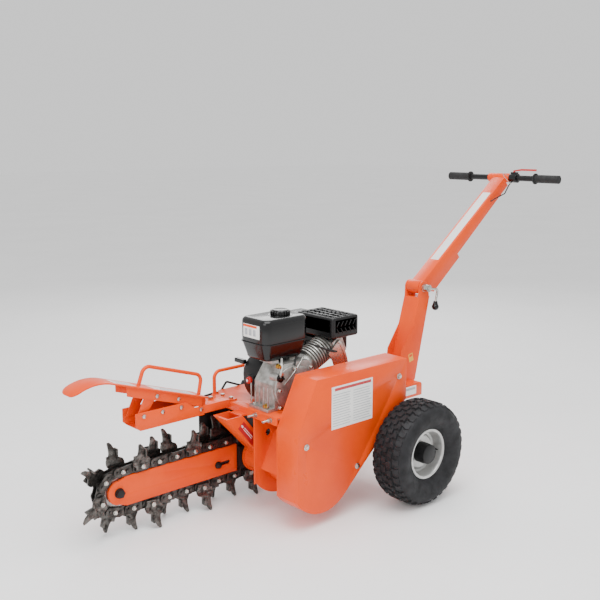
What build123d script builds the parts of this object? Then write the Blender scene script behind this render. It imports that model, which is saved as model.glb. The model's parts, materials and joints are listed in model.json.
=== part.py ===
"""Walk-behind chain trencher, modelled in millimetres.

+Z is up, -X points to the digging end, +X to the handle, and -Y is the belt-guard side.
While it is built, X = 0 is the wheel axle. At the end everything is slid along X, so that
the origin is on the ground under the middle of the machine.
"""
from build123d import *
import os
from math import acos, atan2, cos, degrees, hypot, pi, radians, sin, tan

os.makedirs("parts", exist_ok=True)

# ---------------------------------------------------------------- fits
RUN_GAP = 0.5            # air between pieces that move past each other
FIT_GAP = 0.05           # radial play of a shaft in its bush
HOLE_GAP = 0.5           # radial clearance of a bolt in its hole
PIN_GAP = 0.3            # radial play of a chain pin

# ---------------------------------------------------------------- wheels
TYRE_R = 188.0
TYRE_W = 146.0
RIM_R = 82.0
WHEEL_Y = 390.0
AXLE_R = 12.5
HUB_R = 37.0
HUB_IN = 48.0            # hub length on the inner side of the wheel's middle
HUB_OUT = 40.0           # hub length on the outer side

# ---------------------------------------------------------------- chain and boom
DIG_Y = 83.0             # middle plane of the chain
AXIS_Z = 156.0           # height of the boom's centre line, and the reach of a tooth tip
DRIVE_X = -395.0         # drive shaft
PITCH = 34.925
SPAN_LINKS = 16          # links in each straight run
WRAP_LINKS = 6           # links round each end
LINK_H = 32.0
PLATE_T = 4.0
CHAIN_IN = 18.0          # inside width of the chain
ROLLER_R = 9.0
PIN_R = 5.0
TOOTH_T = 8.0
TOOTH_W = 80.0            # stock from which a tooth is cut, along the chain
TOOTH_SPREAD = 45.0
BOOM_W = 40.0
BOOM_WALL = 6.0
BOOM_TAIL = -470.0
CARRIER_TIP = -575.0
SLOT_X = -559.0
SLOT_LEN = 52.0
SLOT_R = 7.0
NOSE_BOLT_R = 9.0

# ---------------------------------------------------------------- drive shaft and belts
SHAFT_R = 17.5
HOUSING_R = 55.0
BEARING_R = 31.0
BEARING_W = 20.0
CRANK_X = -365.0
CRANK_Z = 460.0
CRANK_R = 10.0
CLUTCH_R = 45.0
DRIVEN_R = 98.0
BELT_W = 13.0
BELT_T = 8.0
BELT_PITCH = 19.0

# ---------------------------------------------------------------- frame
SHEET = 6.0
DECK_Z = 378.0           # top of the deck
DECK_FRONT = -513.0
DECK_REAR = 20.0
DECK_FAR = 186.0
CHAMFER = 34.0
SKIRT_H = 28.0
SIDE_Y = -92.0           # outer face of the near-side frame plate
RAIL_Y = 59.0
RAIL_W = 40.0
RAIL_H = 56.0
RAIL_TOP = 306.0
CROSS_X = -200.0
CROSS_W = 60.0
BOX_FRONT = 250.0
BOX_REAR = 388.0
TENSION_Z = 364.0
TENSION_Y = (-178.0, -100.0)

# ---------------------------------------------------------------- belt guard
GUARD_Y = -314.0         # outer face
GUARD_D = 100.0
GUARD_T = 2.0
GUARD_TOP = 513.0
GUARD_REAR = 15.0
GUARD_KNEE = 362.0
GUARD_BREAK = 338.0
GUARD_SHOULDER = -427.0
LOBE_Z = 190.0
LOBE_R = 144.0

# ---------------------------------------------------------------- engine
PTO_Y = -165.0
CASE_REAR = -50.0
FAN_R = 97.0
FAN_END = 30.0
TANK = (-500.0, -300.0, -140.0, 5.0, 545.0, 690.0)
MUFFLER = (-228.0, -97.0, -180.0, 10.0, 594.0, 670.0)
CYL_TILT = 25.0
FIN_R = 48.0
FINS = 9
ENGINE_BOLT_X = (-485.0, -277.0)
ENGINE_BOLT_Y = (-130.0, -62.0)

# ---------------------------------------------------------------- steering column
POST_W = 80.0
POST_TOP = 648.0
EAR_T = 8.0
PIVOT_X = 433.0
PIVOT_Z = 687.0
PIVOT_R = 9.0
ARM_W = 60.0
ARM_LEN = 715.0
ARM_TILT = 37.0
ARM_ROUND = 28.0
BAR_R = 12.5
GRIP_R = 17.5
LEVER_PIN_R = 1.6
LEVER_EYE_R = 3.3
GRIP_IN = 170.0
GRIP_LEN = 118.0

# ---------------------------------------------------------------- crumber frame
CRUMB_HALF = 43.0
CRUMB_T = 5.0
BEAM_LOW = 355.0
BEAM_TOP = 415.0
BEAM_FRONT = -896.0
BRACKET_FRONT = -625.0
BRACKET_TOP = 388.0
TONGUE_SLOPE = 18.0
TONGUE_T = 5.0
TONGUE_REAR_X = -609.0
TONGUE_REAR_Z = 415.0
TONGUE_CREST_X = -975.0
TONGUE_BEND = 160.0
TONGUE_CURL = 34.0
ROD_R = 6.5
LOOP_Y = 148.0

# ---------------------------------------------------------------- values worked out
AXLE_Z = TYRE_R
PITCH_R = PITCH / (2 * sin(pi / (2 * WRAP_LINKS)))
NOSE_X = DRIVE_X - SPAN_LINKS * PITCH
BOOM_HALF = PITCH_R - LINK_H / 2 - 1.4
WHEEL_TIP = PITCH_R - ROLLER_R - 0.6
TOOTH_H = AXIS_Z - PITCH_R
INNER_B = CHAIN_IN / 2
OUTER_B = INNER_B + PLATE_T + 1.0
STRAP_B = OUTER_B + PLATE_T + 0.3
DECK_UNDER = DECK_Z - SHEET
GUARD_BACK = GUARD_Y + GUARD_D
RAIL_LOW = RAIL_TOP - RAIL_H
BAR_X = PIVOT_X + ARM_LEN * cos(radians(ARM_TILT))
BAR_Z = PIVOT_Z + ARM_LEN * sin(radians(ARM_TILT))
SLOPE = tan(radians(TONGUE_SLOPE))
ORIGIN_X = -43.0
PARTS = {}


# ---------------------------------------------------------------- helpers
def box(x0, x1, y0, y1, z0, z1):
    """A block between two corners."""
    centre = ((x0 + x1) / 2, (y0 + y1) / 2, (z0 + z1) / 2)
    return Pos(*centre) * Box(abs(x1 - x0), abs(y1 - y0), abs(z1 - z0))


def bar_y(x, z, r, y0, y1):
    """A round bar along Y."""
    return Pos(x, (y0 + y1) / 2, z) * Rot(90, 0, 0) * Cylinder(r, abs(y1 - y0))


def bar_x(y, z, r, x0, x1):
    """A round bar along X."""
    return Pos((x0 + x1) / 2, y, z) * Rot(0, 90, 0) * Cylinder(r, abs(x1 - x0))


def bar_z(x, y, r, z0, z1):
    """A round bar along Z."""
    return Pos(x, y, (z0 + z1) / 2) * Cylinder(r, abs(z1 - z0))


def ring_y(x, z, r_out, r_in, y0, y1):
    """A tube along Y."""
    return bar_y(x, z, r_out, y0, y1) - bar_y(x, z, r_in, y0 - 1, y1 + 1)


def hex_y(x, z, across, y0, y1):
    """A hexagon head or nut along Y."""
    face = Plane((x, y0, z), x_dir=(1, 0, 0), z_dir=(0, 1, 0)) * RegularPolygon(across / 2, 6, major_radius=False)
    return extrude(face, y1 - y0)


def hex_z(x, y, across, z0, z1):
    """A hexagon head or nut along Z."""
    face = Plane((x, y, z0)) * RegularPolygon(across / 2, 6, major_radius=False)
    return extrude(face, z1 - z0)


def prism_y(points, y0, y1):
    """An outline of (x, z) points, as thick as from y0 to y1."""
    wire = Polyline(*[(x, y0, z) for x, z in points], close=True)
    return extrude(make_face(wire), amount=y1 - y0, dir=(0, 1, 0))


def turned_y(profile, x, z):
    """An outline of (radius, y) points turned about an axis along Y through (x, z)."""
    wire = Polyline(*[(x + r, y, z) for r, y in profile], close=True)
    return revolve(make_face(wire), Axis((x, 0, z), (0, 1, 0)), 360)


def rod(points, r, bend):
    """A bent round rod through the points."""
    path = FilletPolyline(*points, radius=bend)
    section = Plane(origin=path @ 0, z_dir=path % 0) * Circle(r)
    return sweep(section, path=path)


def belt_loop(c1, r1, c2, r2, y0, y1):
    """The flat outline round two circles, as wide as from y0 to y1."""
    dx = c2[0] - c1[0]
    dz = c2[1] - c1[1]
    dist = hypot(dx, dz)
    along = atan2(dz, dx)
    lean = pi / 2 + atan2(r2 - r1, (dist ** 2 - (r2 - r1) ** 2) ** 0.5)
    corners = []
    for (cx, cz), r, side in ((c1, r1, 1), (c2, r2, 1), (c2, r2, -1), (c1, r1, -1)):
        turn = along + side * lean
        corners.append((cx + r * cos(turn), cz + r * sin(turn)))
    return prism_y(corners, y0, y1) + bar_y(c1[0], c1[1], r1, y0, y1) + bar_y(c2[0], c2[1], r2, y0, y1)


def prism_z(points, z0, z1):
    """An outline of (x, y) points, as thick as from z0 to z1."""
    wire = Polyline(*[(x, y, z0) for x, y in points], close=True)
    return extrude(make_face(wire), amount=z1 - z0, dir=(0, 0, 1))


def hex_x(y, z, across, x0, x1):
    """A hexagon head or nut along X."""
    face = Plane((x0, y, z), x_dir=(0, 1, 0), z_dir=(1, 0, 0)) * RegularPolygon(across / 2, 6, major_radius=False)
    return extrude(face, x1 - x0)


def save(name, *solids):
    """Keep the solids of one piece, or of a group of like pieces, under its name."""
    PARTS[name] = list(solids)


def add(name, *solids):
    """Add more solids to a group of like pieces."""
    PARTS.setdefault(name, []).extend(solids)


# ---------------------------------------------------------------- wheels
def wheel(side, label):
    """One pneumatic wheel: side is -1 for the guard side and 1 for the far side."""
    y = side * WHEEL_Y
    half = TYRE_W / 2
    seat = 43.0
    wall = 12.0
    tread = TYRE_R
    outline = [
        (RIM_R, seat), (RIM_R + 10, seat), (RIM_R + 18, seat + 9), (tread * 0.66, half - 4), (tread * 0.78, half),
        (tread * 0.88, half - 3), (tread * 0.95, half - 14), (tread * 0.985, half - 28), (tread, half - 50),
    ]
    hollow = [
        (RIM_R, seat - wall), (RIM_R + 20, seat - 4), (tread * 0.67, half - wall - 4), (tread * 0.78, half - wall),
        (tread * 0.87, half - wall - 6), (tread * 0.92, half - wall - 22), (tread - wall, half - 50),
    ]
    upper = outline + [(r, -w) for r, w in reversed(outline)]
    lower = hollow + [(r, -w) for r, w in reversed(hollow)]
    tyre = turned_y([(r, y + w) for r, w in upper], 0, AXLE_Z)
    void = turned_y([(r, y + w) for r, w in lower], 0, AXLE_Z)
    save(label + "_tyre", tyre - void)

    # rim: barrel, two flanges and a coned disc
    t = 3.0
    barrel = ring_y(0, AXLE_Z, RIM_R, RIM_R - t, y - seat, y + seat)
    lip_a = ring_y(0, AXLE_Z, RIM_R + 9, RIM_R - t, y + seat, y + seat + t)
    lip_b = ring_y(0, AXLE_Z, RIM_R + 9, RIM_R - t, y - seat - t, y - seat)
    disc = [(RIM_R - t + 0.5, 20), (RIM_R - t + 0.5, 24), (HUB_R + 16, 8), (HUB_R, 8), (HUB_R, 4), (HUB_R + 14, 4)]
    cone = turned_y([(r, y + side * w) for r, w in disc], 0, AXLE_Z)
    rim = barrel + lip_a + lip_b + cone
    for k in range(4):
        a = radians(45 + 90 * k)
        hole = HUB_R + 9
        rim = rim - bar_y(hole * cos(a), AXLE_Z + hole * sin(a), 4, y - 20, y + 30)
    save(label + "_rim", rim)

    # hub: a turned barrel on the axle, closed by its cap
    a = y - side * HUB_IN
    b = y + side * HUB_OUT
    hub = ring_y(0, AXLE_Z, HUB_R, AXLE_R + FIT_GAP, min(a, b), max(a, b))
    c = b + side * 14
    cap = bar_y(0, AXLE_Z, HUB_R - 2, min(b, c), max(b, c))
    d = b + side * 9
    room = bar_y(0, AXLE_Z, AXLE_R + 9, min(b, d), max(b, d))
    save(label + "_hub", hub + (cap - room))


def axle():
    """The dead axle, with a collar on each side of each hub."""
    end = WHEEL_Y + HUB_OUT + 7
    shaft = bar_y(0, AXLE_Z, AXLE_R, -end, end)
    for side in (-1, 1):
        for a, b in ((WHEEL_Y - HUB_IN - 12, WHEEL_Y - HUB_IN - RUN_GAP),
                     (WHEEL_Y + HUB_OUT + RUN_GAP, WHEEL_Y + HUB_OUT + 5)):
            shaft = shaft + bar_y(0, AXLE_Z, AXLE_R + 6, min(side * a, side * b), max(side * a, side * b))
    save("axle", shaft)


# ---------------------------------------------------------------- frame
def deck():
    """Folded deck plate with its front skirt, far flange and near web."""
    plate = prism_z([
        (DECK_FRONT, GUARD_BACK + SHEET), (DECK_FRONT, DECK_FAR - CHAMFER), (DECK_FRONT + CHAMFER, DECK_FAR),
        (DECK_REAR, DECK_FAR), (DECK_REAR, GUARD_BACK + SHEET),
    ], DECK_UNDER, DECK_Z)
    skirt_low = DECK_Z - SKIRT_H
    plate = plate + box(DECK_FRONT, DECK_FRONT + SHEET, GUARD_BACK + SHEET, DECK_FAR - CHAMFER, skirt_low, DECK_Z)
    plate = plate + box(DECK_FRONT + CHAMFER, DECK_REAR, DECK_FAR - SHEET, DECK_FAR, RAIL_TOP, DECK_Z)
    web = GUARD_BACK + 64
    plate = plate + box(DECK_FRONT + 70, DECK_REAR, web, web + SHEET, RAIL_TOP, DECK_Z)
    for x in ENGINE_BOLT_X:
        for y in ENGINE_BOLT_Y:
            plate = plate - bar_z(x, y, 4 + HOLE_GAP, DECK_UNDER - 1, DECK_Z + 1)
    for y in TENSION_Y:
        plate = plate - bar_x(y, TENSION_Z, 4 + HOLE_GAP, DECK_FRONT - 1, DECK_FRONT + SHEET + 1)
    save("deck_plate", plate)


def frame():
    """Cross-member, rails, axle brackets, rear box and the side plate."""
    cross = box(CROSS_X, CROSS_X + CROSS_W, GUARD_BACK + SHEET, DECK_FAR, RAIL_LOW, RAIL_TOP)
    cross = cross - box(CROSS_X + 4, CROSS_X + CROSS_W - 4, GUARD_BACK, DECK_FAR + 1, RAIL_LOW + 4, RAIL_TOP - 4)
    rails = cross
    for side in (-1, 1):
        y = side * RAIL_Y
        rail = box(CROSS_X + CROSS_W, BOX_FRONT, y - RAIL_W / 2, y + RAIL_W / 2, RAIL_LOW, RAIL_TOP)
        rail = rail - box(CROSS_X + CROSS_W - 1, BOX_FRONT + 1, y - RAIL_W / 2 + 4, y + RAIL_W / 2 - 4,
                          RAIL_LOW + 4, RAIL_TOP - 4)
        rails = rails + rail
        drop = AXLE_Z - AXLE_R - 14
        plate = prism_y([(-55, RAIL_LOW), (55, RAIL_LOW), (24, drop), (-24, drop)], y - 5, y + 5)
        rails = rails + (plate - bar_y(0, AXLE_Z, AXLE_R, y - 6, y + 6))

    half = RAIL_Y + RAIL_W / 2
    rear = box(BOX_FRONT, BOX_REAR, -half, half, RAIL_LOW, RAIL_TOP)
    corner = rear.edges().filter_by(Axis.Y).group_by(Axis.X)[-1].sort_by(Axis.Z)[-1]
    rear = fillet([corner], 14)
    rear = rear - box(BOX_FRONT + 5, BOX_REAR - 5, -half + 5, half - 5, RAIL_LOW - 1, RAIL_TOP - 5)
    save("frame_rails", rails + rear)

    # the side plate follows the guard's lobe and carries the bearing housing
    y0 = SIDE_Y
    y1 = SIDE_Y + SHEET
    web = prism_y([
        (DECK_FRONT, DECK_Z - SKIRT_H), (DECK_FRONT, LOBE_Z - 80), (DRIVE_X, LOBE_Z), (DRIVE_X + 110, LOBE_Z - 80),
        (CROSS_X, RAIL_LOW), (CROSS_X, DECK_UNDER), (DECK_FRONT + 8, DECK_UNDER), (DECK_FRONT + 8, DECK_Z - SKIRT_H),
    ], y0, y1)
    side = web + bar_y(DRIVE_X, LOBE_Z, LOBE_R - 10, y0, y1)
    side = side - box(DECK_FRONT - 200, DECK_FRONT, y0 - 1, y1 + 1, 0, DECK_Z)
    side = side - bar_y(DRIVE_X, AXIS_Z, HOUSING_R, y0 - 1, y1 + 1)
    side = side - bar_y(DECK_FRONT + 63, LOBE_Z + 96, 12.5, y0 - 1, y1 + 1)

    # sloping plate that ties the side plate to the guard's back plate
    low_x = DECK_FRONT + 28
    low_z = LOBE_Z - 30
    tie = prism_y([
        (low_x, low_z), (low_x + 65, low_z + 130), (low_x + 70, low_z + 130), (low_x + 5, low_z),
    ], GUARD_BACK + SHEET, SIDE_Y)
    tie = tie - bar_y(DRIVE_X, AXIS_Z, HOUSING_R, GUARD_BACK, SIDE_Y + 1)
    save("side_plate", side + tie)


def neck():
    """The inclined box arm from the bearing housing up to the deck's front skirt."""
    near = -60.0
    far = 16.0
    outline = [
        (DRIVE_X - 213, BEAM_LOW + 1), (DRIVE_X - 142, BEAM_LOW + 1), (DRIVE_X - 98, AXIS_Z + 147),
        (DRIVE_X + 22, AXIS_Z), (DRIVE_X - 26, AXIS_Z), (DRIVE_X - 99, AXIS_Z + 77),
    ]
    hollow = [
        (DRIVE_X - 203, BEAM_LOW + 2), (DRIVE_X - 150, BEAM_LOW + 2), (DRIVE_X - 104, AXIS_Z + 144),
        (DRIVE_X + 14, AXIS_Z), (DRIVE_X - 22, AXIS_Z), (DRIVE_X - 94, AXIS_Z + 80),
    ]
    arm = prism_y(outline, near, far) - prism_y(hollow, near + 5, far - 5)
    arm = arm - bar_y(DRIVE_X, AXIS_Z, HOUSING_R, near - 1, far + 1)
    lug = box(DRIVE_X - 140, DECK_FRONT, near + 10, far - 10, DECK_Z - SKIRT_H, BEAM_LOW + 1)
    arm = arm + lug
    save("neck_arm", arm)


# ---------------------------------------------------------------- belt guard
def guard_slab(inset, y0, y1):
    """The guard's side outline, drawn in by inset, as thick as from y0 to y1."""
    front = DECK_FRONT + inset
    top = GUARD_TOP - inset
    rear = GUARD_REAR - inset
    radius = LOBE_R - inset
    reach = hypot(GUARD_REAR - DRIVE_X, GUARD_KNEE - LOBE_Z)
    angle = atan2(GUARD_KNEE - LOBE_Z, GUARD_REAR - DRIVE_X) - acos(LOBE_R / reach)
    incline = angle + pi / 2
    knee = GUARD_KNEE - inset * tan(incline) + inset / cos(incline)
    lean = atan2(GUARD_TOP - GUARD_BREAK, GUARD_SHOULDER - DECK_FRONT)
    shoulder = GUARD_SHOULDER + inset * tan(lean / 2)
    brk = GUARD_BREAK - inset * tan((pi / 2 - lean) / 2)
    low = LOBE_Z - (radius ** 2 - (DRIVE_X - front) ** 2) ** 0.5
    body = prism_y([
        (front, brk), (front, low), (DRIVE_X, LOBE_Z),
        (DRIVE_X + radius * cos(angle), LOBE_Z + radius * sin(angle)), (rear, knee), (rear, top), (shoulder, top),
    ], y0, y1)
    lobe = bar_y(DRIVE_X, LOBE_Z, radius, y0, y1)
    trim = box(DECK_FRONT - 200, front, y0 - 1, y1 + 1, 0, GUARD_TOP + 100)
    return body + (lobe - trim)


def guard():
    """A folded sheet box over the belts, closed by its back plate."""
    shell = guard_slab(0, GUARD_Y, GUARD_BACK) - guard_slab(GUARD_T, GUARD_Y + GUARD_T, GUARD_BACK + 1)
    bolts = []
    posts = guard_slab(0, GUARD_BACK, GUARD_BACK + SHEET)
    for x, z in ((DECK_FRONT + 38, LOBE_Z + 106), (DRIVE_X + 160, LOBE_Z - 20), (GUARD_REAR - 40, GUARD_TOP - 60)):
        shell = shell - bar_y(x, z, 4 + HOLE_GAP, GUARD_Y - 1, GUARD_Y + GUARD_T + 1)
        bolt = bar_y(x, z, 4, GUARD_Y - 1.5, GUARD_Y + 16) + bar_y(x, z, 11, GUARD_Y - 1.5, GUARD_Y)
        bolts.append(bolt + hex_y(x, z, 13, GUARD_Y - 7, GUARD_Y - 1.5))
        posts = posts + ring_y(x, z, 8, 4, GUARD_Y + GUARD_T, GUARD_BACK)
    save("belt_guard", shell)
    add("frame_bolts", *bolts)
    back = posts - bar_y(DRIVE_X, AXIS_Z, HOUSING_R, GUARD_BACK - 1, GUARD_BACK + SHEET + 1)
    back = back - bar_y(CRANK_X, CRANK_Z, 24, GUARD_BACK - 1, GUARD_BACK + SHEET + 1)
    save("guard_back_plate", back)


# ---------------------------------------------------------------- belt drive
def pulley(x, z, r, bore, y0, width):
    """A two-groove pulley."""
    body = ring_y(x, z, r, bore, y0, y0 + width)
    for k in range(2):
        mid = y0 + width / 2 + (k - 0.5) * BELT_PITCH
        body = body - ring_y(x, z, r + 1, r - BELT_T, mid - BELT_W / 2, mid + BELT_W / 2)
    return body


def belt_drive():
    """Shaft, bearings, pulleys and belts."""
    width = 2 * BELT_PITCH + 4
    pulley_y = GUARD_BACK - 18 - width
    end = DIG_Y + INNER_B
    shaft = bar_y(DRIVE_X, AXIS_Z, SHAFT_R, pulley_y - 4, end)
    shaft = shaft + hex_y(DRIVE_X, AXIS_Z, 46, pulley_y - 14, pulley_y - 4)
    shaft = shaft + bar_y(DRIVE_X, AXIS_Z, SHAFT_R + 10, end, end + 4)
    save("drive_shaft", shaft + hex_y(DRIVE_X, AXIS_Z, 24, end + 4, end + 13))
    house_a = GUARD_BACK
    house_b = DIG_Y - BOOM_W / 2 - 15
    house = ring_y(DRIVE_X, AXIS_Z, HOUSING_R, BEARING_R, house_a, house_b)
    house = house + ring_y(DRIVE_X, AXIS_Z, HOUSING_R + 7, BEARING_R, house_b - 8, house_b)
    save("bearing_housing", house)
    bearings = []
    for a in (house_a, house_b - BEARING_W):
        bearings.append(ring_y(DRIVE_X, AXIS_Z, BEARING_R, SHAFT_R + FIT_GAP, a, a + BEARING_W))
    save("shaft_bearings", *bearings)

    driven = pulley(DRIVE_X, AXIS_Z, DRIVEN_R, SHAFT_R, pulley_y, width)
    web = (DRIVEN_R - BELT_T + SHAFT_R + 12) / 2
    for k in range(5):
        a = radians(72 * k)
        driven = driven - bar_y(DRIVE_X + web * cos(a), AXIS_Z + web * sin(a), 15, pulley_y - 1, pulley_y + width + 1)
    save("driven_pulley", driven)
    crank = bar_y(CRANK_X, CRANK_Z, CRANK_R, pulley_y - 3, PTO_Y + 12)
    save("crankshaft", crank + hex_y(CRANK_X, CRANK_Z, 30, pulley_y - 10, pulley_y - 3))
    save("clutch_drum", pulley(CRANK_X, CRANK_Z, CLUTCH_R, CRANK_R, pulley_y, width))

    belts = []
    lift = 0.6
    for k in range(2):
        mid = pulley_y + width / 2 + (k - 0.5) * BELT_PITCH
        a = mid - BELT_W / 2 + 0.5
        b = mid + BELT_W / 2 - 0.5
        top = (CRANK_X, CRANK_Z)
        low = (DRIVE_X, AXIS_Z)
        loop = belt_loop(top, CLUTCH_R, low, DRIVEN_R, a, b)
        room = belt_loop(top, CLUTCH_R - BELT_T + lift, low, DRIVEN_R - BELT_T + lift, a - 1, b + 1)
        belts.append(loop - room)
    save("drive_belts", *belts)

    bolts = []
    for y in TENSION_Y:
        rod_end = DECK_FRONT + 40
        bolt = bar_x(y, TENSION_Z, 4, DECK_FRONT - 35, rod_end)
        bolt = bolt + hex_x(y, TENSION_Z, 13, DECK_FRONT - 12, DECK_FRONT - 5)
        bolt = bolt + bar_x(y, TENSION_Z, 9, DECK_FRONT - 2, DECK_FRONT)
        bolts.append(bolt + hex_x(y, TENSION_Z, 13, rod_end - 6, rod_end))
    add("frame_bolts", *bolts)


# ---------------------------------------------------------------- boom
def boom():
    """Box boom with its forked nose, wear strips, carrier and bolts."""
    y0 = DIG_Y - BOOM_W / 2
    y1 = DIG_Y + BOOM_W / 2
    half = BOOM_HALF
    beam = prism_y([
        (NOSE_X, AXIS_Z + 40), (NOSE_X + 26, AXIS_Z + half), (BOOM_TAIL, AXIS_Z + half),
        (BOOM_TAIL, AXIS_Z - half), (NOSE_X + 26, AXIS_Z - half), (NOSE_X, AXIS_Z - 40),
    ], y0, y1)
    beam = beam + bar_y(NOSE_X, AXIS_Z, 40, y0, y1)
    cheek = INNER_B
    fork_end = NOSE_X + WHEEL_TIP + 4
    beam = beam - box(NOSE_X - 60, fork_end, DIG_Y - cheek, DIG_Y + cheek, 0, 2 * AXIS_Z)
    inner = half - BOOM_WALL
    beam = beam - box(fork_end + 8, BOOM_TAIL + 1, y0 + BOOM_WALL, y1 - BOOM_WALL, AXIS_Z - inner, AXIS_Z + inner)
    beam = beam - bar_y(NOSE_X, AXIS_Z, NOSE_BOLT_R + HOLE_GAP, y0 - 1, y1 + 1)
    slot_z = AXIS_Z - 8
    slot = box(SLOT_X, SLOT_X + SLOT_LEN, y0 - 1, y1 + 1, slot_z - SLOT_R, slot_z + SLOT_R)
    for x in (SLOT_X, SLOT_X + SLOT_LEN):
        slot = slot + bar_y(x, slot_z, SLOT_R, y0 - 1, y1 + 1)
    save("boom", beam - slot)

    strips = []
    for side in (-1, 1):
        a = AXIS_Z + side * half
        b = AXIS_Z + side * (PITCH_R - ROLLER_R - 0.5)
        strips.append(box(fork_end + 6, BOOM_TAIL, DIG_Y - 8, DIG_Y + 8, min(a, b), max(a, b)))
    save("wear_strips", *strips)

    # the carrier: a plate on the bearing housing's flange and a bar inside the boom's tail
    plate_a = y0 - 15
    plate_b = y0 - 3
    plate = bar_y(DRIVE_X, AXIS_Z, HOUSING_R - 5, plate_a, plate_b)
    bar_half = inner - 2
    step_x = BOOM_TAIL + 2
    near_wall = y0 + BOOM_WALL + 1
    plate = plate + box(step_x, DRIVE_X, plate_a, plate_b, AXIS_Z - bar_half, AXIS_Z + bar_half)
    bar = box(CARRIER_TIP, step_x + 1, near_wall, y1 - BOOM_WALL - 1, AXIS_Z - bar_half, AXIS_Z + bar_half)
    block = box(step_x, step_x + 12, plate_a, y1 - BOOM_WALL - 1, AXIS_Z - bar_half, AXIS_Z + bar_half)
    carrier = plate + bar + block
    carrier = carrier - bar_y(DRIVE_X, AXIS_Z, SHAFT_R + 2, plate_a - 1, plate_b + 1)
    lock_x = SLOT_X + 4
    carrier = carrier - bar_y(lock_x, slot_z, 6, y0, y1)
    save("boom_carrier", carrier)

    lock = bar_y(lock_x, slot_z, 6, y0 - 3, y1 + 3)
    lock = lock + ring_y(lock_x, slot_z, 13, 5, y0 - 3, y0) + ring_y(lock_x, slot_z, 13, 5, y1, y1 + 3)
    lock = lock + hex_y(lock_x, slot_z, 19, y0 - 11, y0 - 3) + hex_y(lock_x, slot_z, 19, y1 + 3, y1 + 13)
    nose = bar_y(NOSE_X, AXIS_Z, NOSE_BOLT_R, y0 - 3, y1 + 3)
    nose = nose + ring_y(NOSE_X, AXIS_Z, 17, 8, y0 - 3, y0) + ring_y(NOSE_X, AXIS_Z, 17, 8, y1, y1 + 3)
    nose = nose + hex_y(NOSE_X, AXIS_Z, 27, y0 - 14, y0 - 3) + hex_y(NOSE_X, AXIS_Z, 27, y1 + 3, y1 + 15)
    save("boom_bolts", lock, nose)


def sprocket_and_nose():
    """The drive sprocket and the roller in the boom's nose."""
    half = INNER_B - 1.5
    teeth = 2 * WRAP_LINKS
    root = WHEEL_TIP - 10
    points = []
    for k in range(teeth):
        a = 2 * pi * k / teeth
        step = 2 * pi / teeth
        for share, r in ((-0.36, root), (-0.15, WHEEL_TIP), (0.15, WHEEL_TIP), (0.36, root)):
            b = a + share * step
            points.append((DRIVE_X + r * cos(b), AXIS_Z + r * sin(b)))
    disc = prism_y(points, DIG_Y - half, DIG_Y + half)
    save("drive_sprocket", disc - bar_y(DRIVE_X, AXIS_Z, SHAFT_R, DIG_Y - 20, DIG_Y + 20))
    bore = NOSE_BOLT_R + FIT_GAP
    roller_half = INNER_B - RUN_GAP
    roller = ring_y(NOSE_X, AXIS_Z, WHEEL_TIP, bore, DIG_Y - roller_half, DIG_Y + roller_half)
    save("nose_roller", roller)


# ---------------------------------------------------------------- chain
def pin_points():
    """Chain pins in order: forward along the top, round the nose, back below, round the drive."""
    points = []
    for k in range(SPAN_LINKS):
        points.append((DRIVE_X - k * PITCH, AXIS_Z + PITCH_R))
    for k in range(WRAP_LINKS):
        a = radians(90 + 180 * k / WRAP_LINKS)
        points.append((NOSE_X + PITCH_R * cos(a), AXIS_Z + PITCH_R * sin(a)))
    for k in range(SPAN_LINKS):
        points.append((NOSE_X + k * PITCH, AXIS_Z - PITCH_R))
    for k in range(WRAP_LINKS):
        a = radians(-90 + 180 * k / WRAP_LINKS)
        points.append((DRIVE_X + PITCH_R * cos(a), AXIS_Z + PITCH_R * sin(a)))
    return points


def link_plate(y0, y1):
    """One chain side plate about the origin, lying along X."""
    half = PITCH / 2
    body = box(-half, half, y0, y1, -LINK_H / 2, LINK_H / 2)
    for s in (-1, 1):
        body = body + bar_y(s * half, 0, LINK_H / 2, y0, y1)
    return body


def inner_link():
    """Two inner plates joined by two bushes."""
    link = link_plate(-INNER_B - PLATE_T, -INNER_B) + link_plate(INNER_B, INNER_B + PLATE_T)
    for s in (-1, 1):
        link = link + bar_y(s * PITCH / 2, 0, ROLLER_R, -INNER_B, INNER_B)
    for s in (-1, 1):
        link = link - bar_y(s * PITCH / 2, 0, PIN_R + PIN_GAP, -OUTER_B, OUTER_B)
    return link


def outer_link():
    """Two outer plates joined by two pins."""
    link = link_plate(-OUTER_B - PLATE_T, -OUTER_B) + link_plate(OUTER_B, OUTER_B + PLATE_T)
    for s in (-1, 1):
        link = link + bar_y(s * PITCH / 2, 0, PIN_R, -STRAP_B - 3.5, STRAP_B + 3.5)
    return link


def tooth(kind):
    """One digging tooth about its link's middle: kind is -1 near, 1 far or 0 middle."""
    side = -1 if kind < 0 else 1
    a = STRAP_B
    b = STRAP_B + TOOTH_T
    knee = LINK_H / 2 + 2
    tip = TOOTH_SPREAD if kind else 0.0
    spread = [(b, -8), (b, knee + 4), (tip + 5, TOOTH_H - 7), (tip, TOOTH_H), (tip - 6, TOOTH_H - 8), (a, knee), (a, -8)]
    strap = Polyline(*[(-TOOTH_W / 2, side * u, n) for u, n in spread], close=True)
    stock = extrude(make_face(strap), amount=TOOTH_W, dir=(1, 0, 0))
    # seen from the side: a foot wider than the link, and a cutter that leans forward
    top = TOOTH_H
    side_view = [
        (-24, -10), (24, -10), (30, 8), (27, 26), (14, 36), (9, 50), (2, 62), (-4, 74), (-14, top), (-22, top - 2),
        (-20, 68), (-17, 52), (-22, 42), (-34, 34), (-36, 20), (-30, 4),
    ]
    cutter = stock & prism_y(side_view, -TOOTH_SPREAD - 20, TOOTH_SPREAD + 20)
    for s in (-1, 1):
        cutter = cutter - bar_y(s * PITCH / 2, 0, PIN_R + PIN_GAP, min(side * a, side * b) - 1, max(side * a, side * b) + 1)
    return cutter


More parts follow.
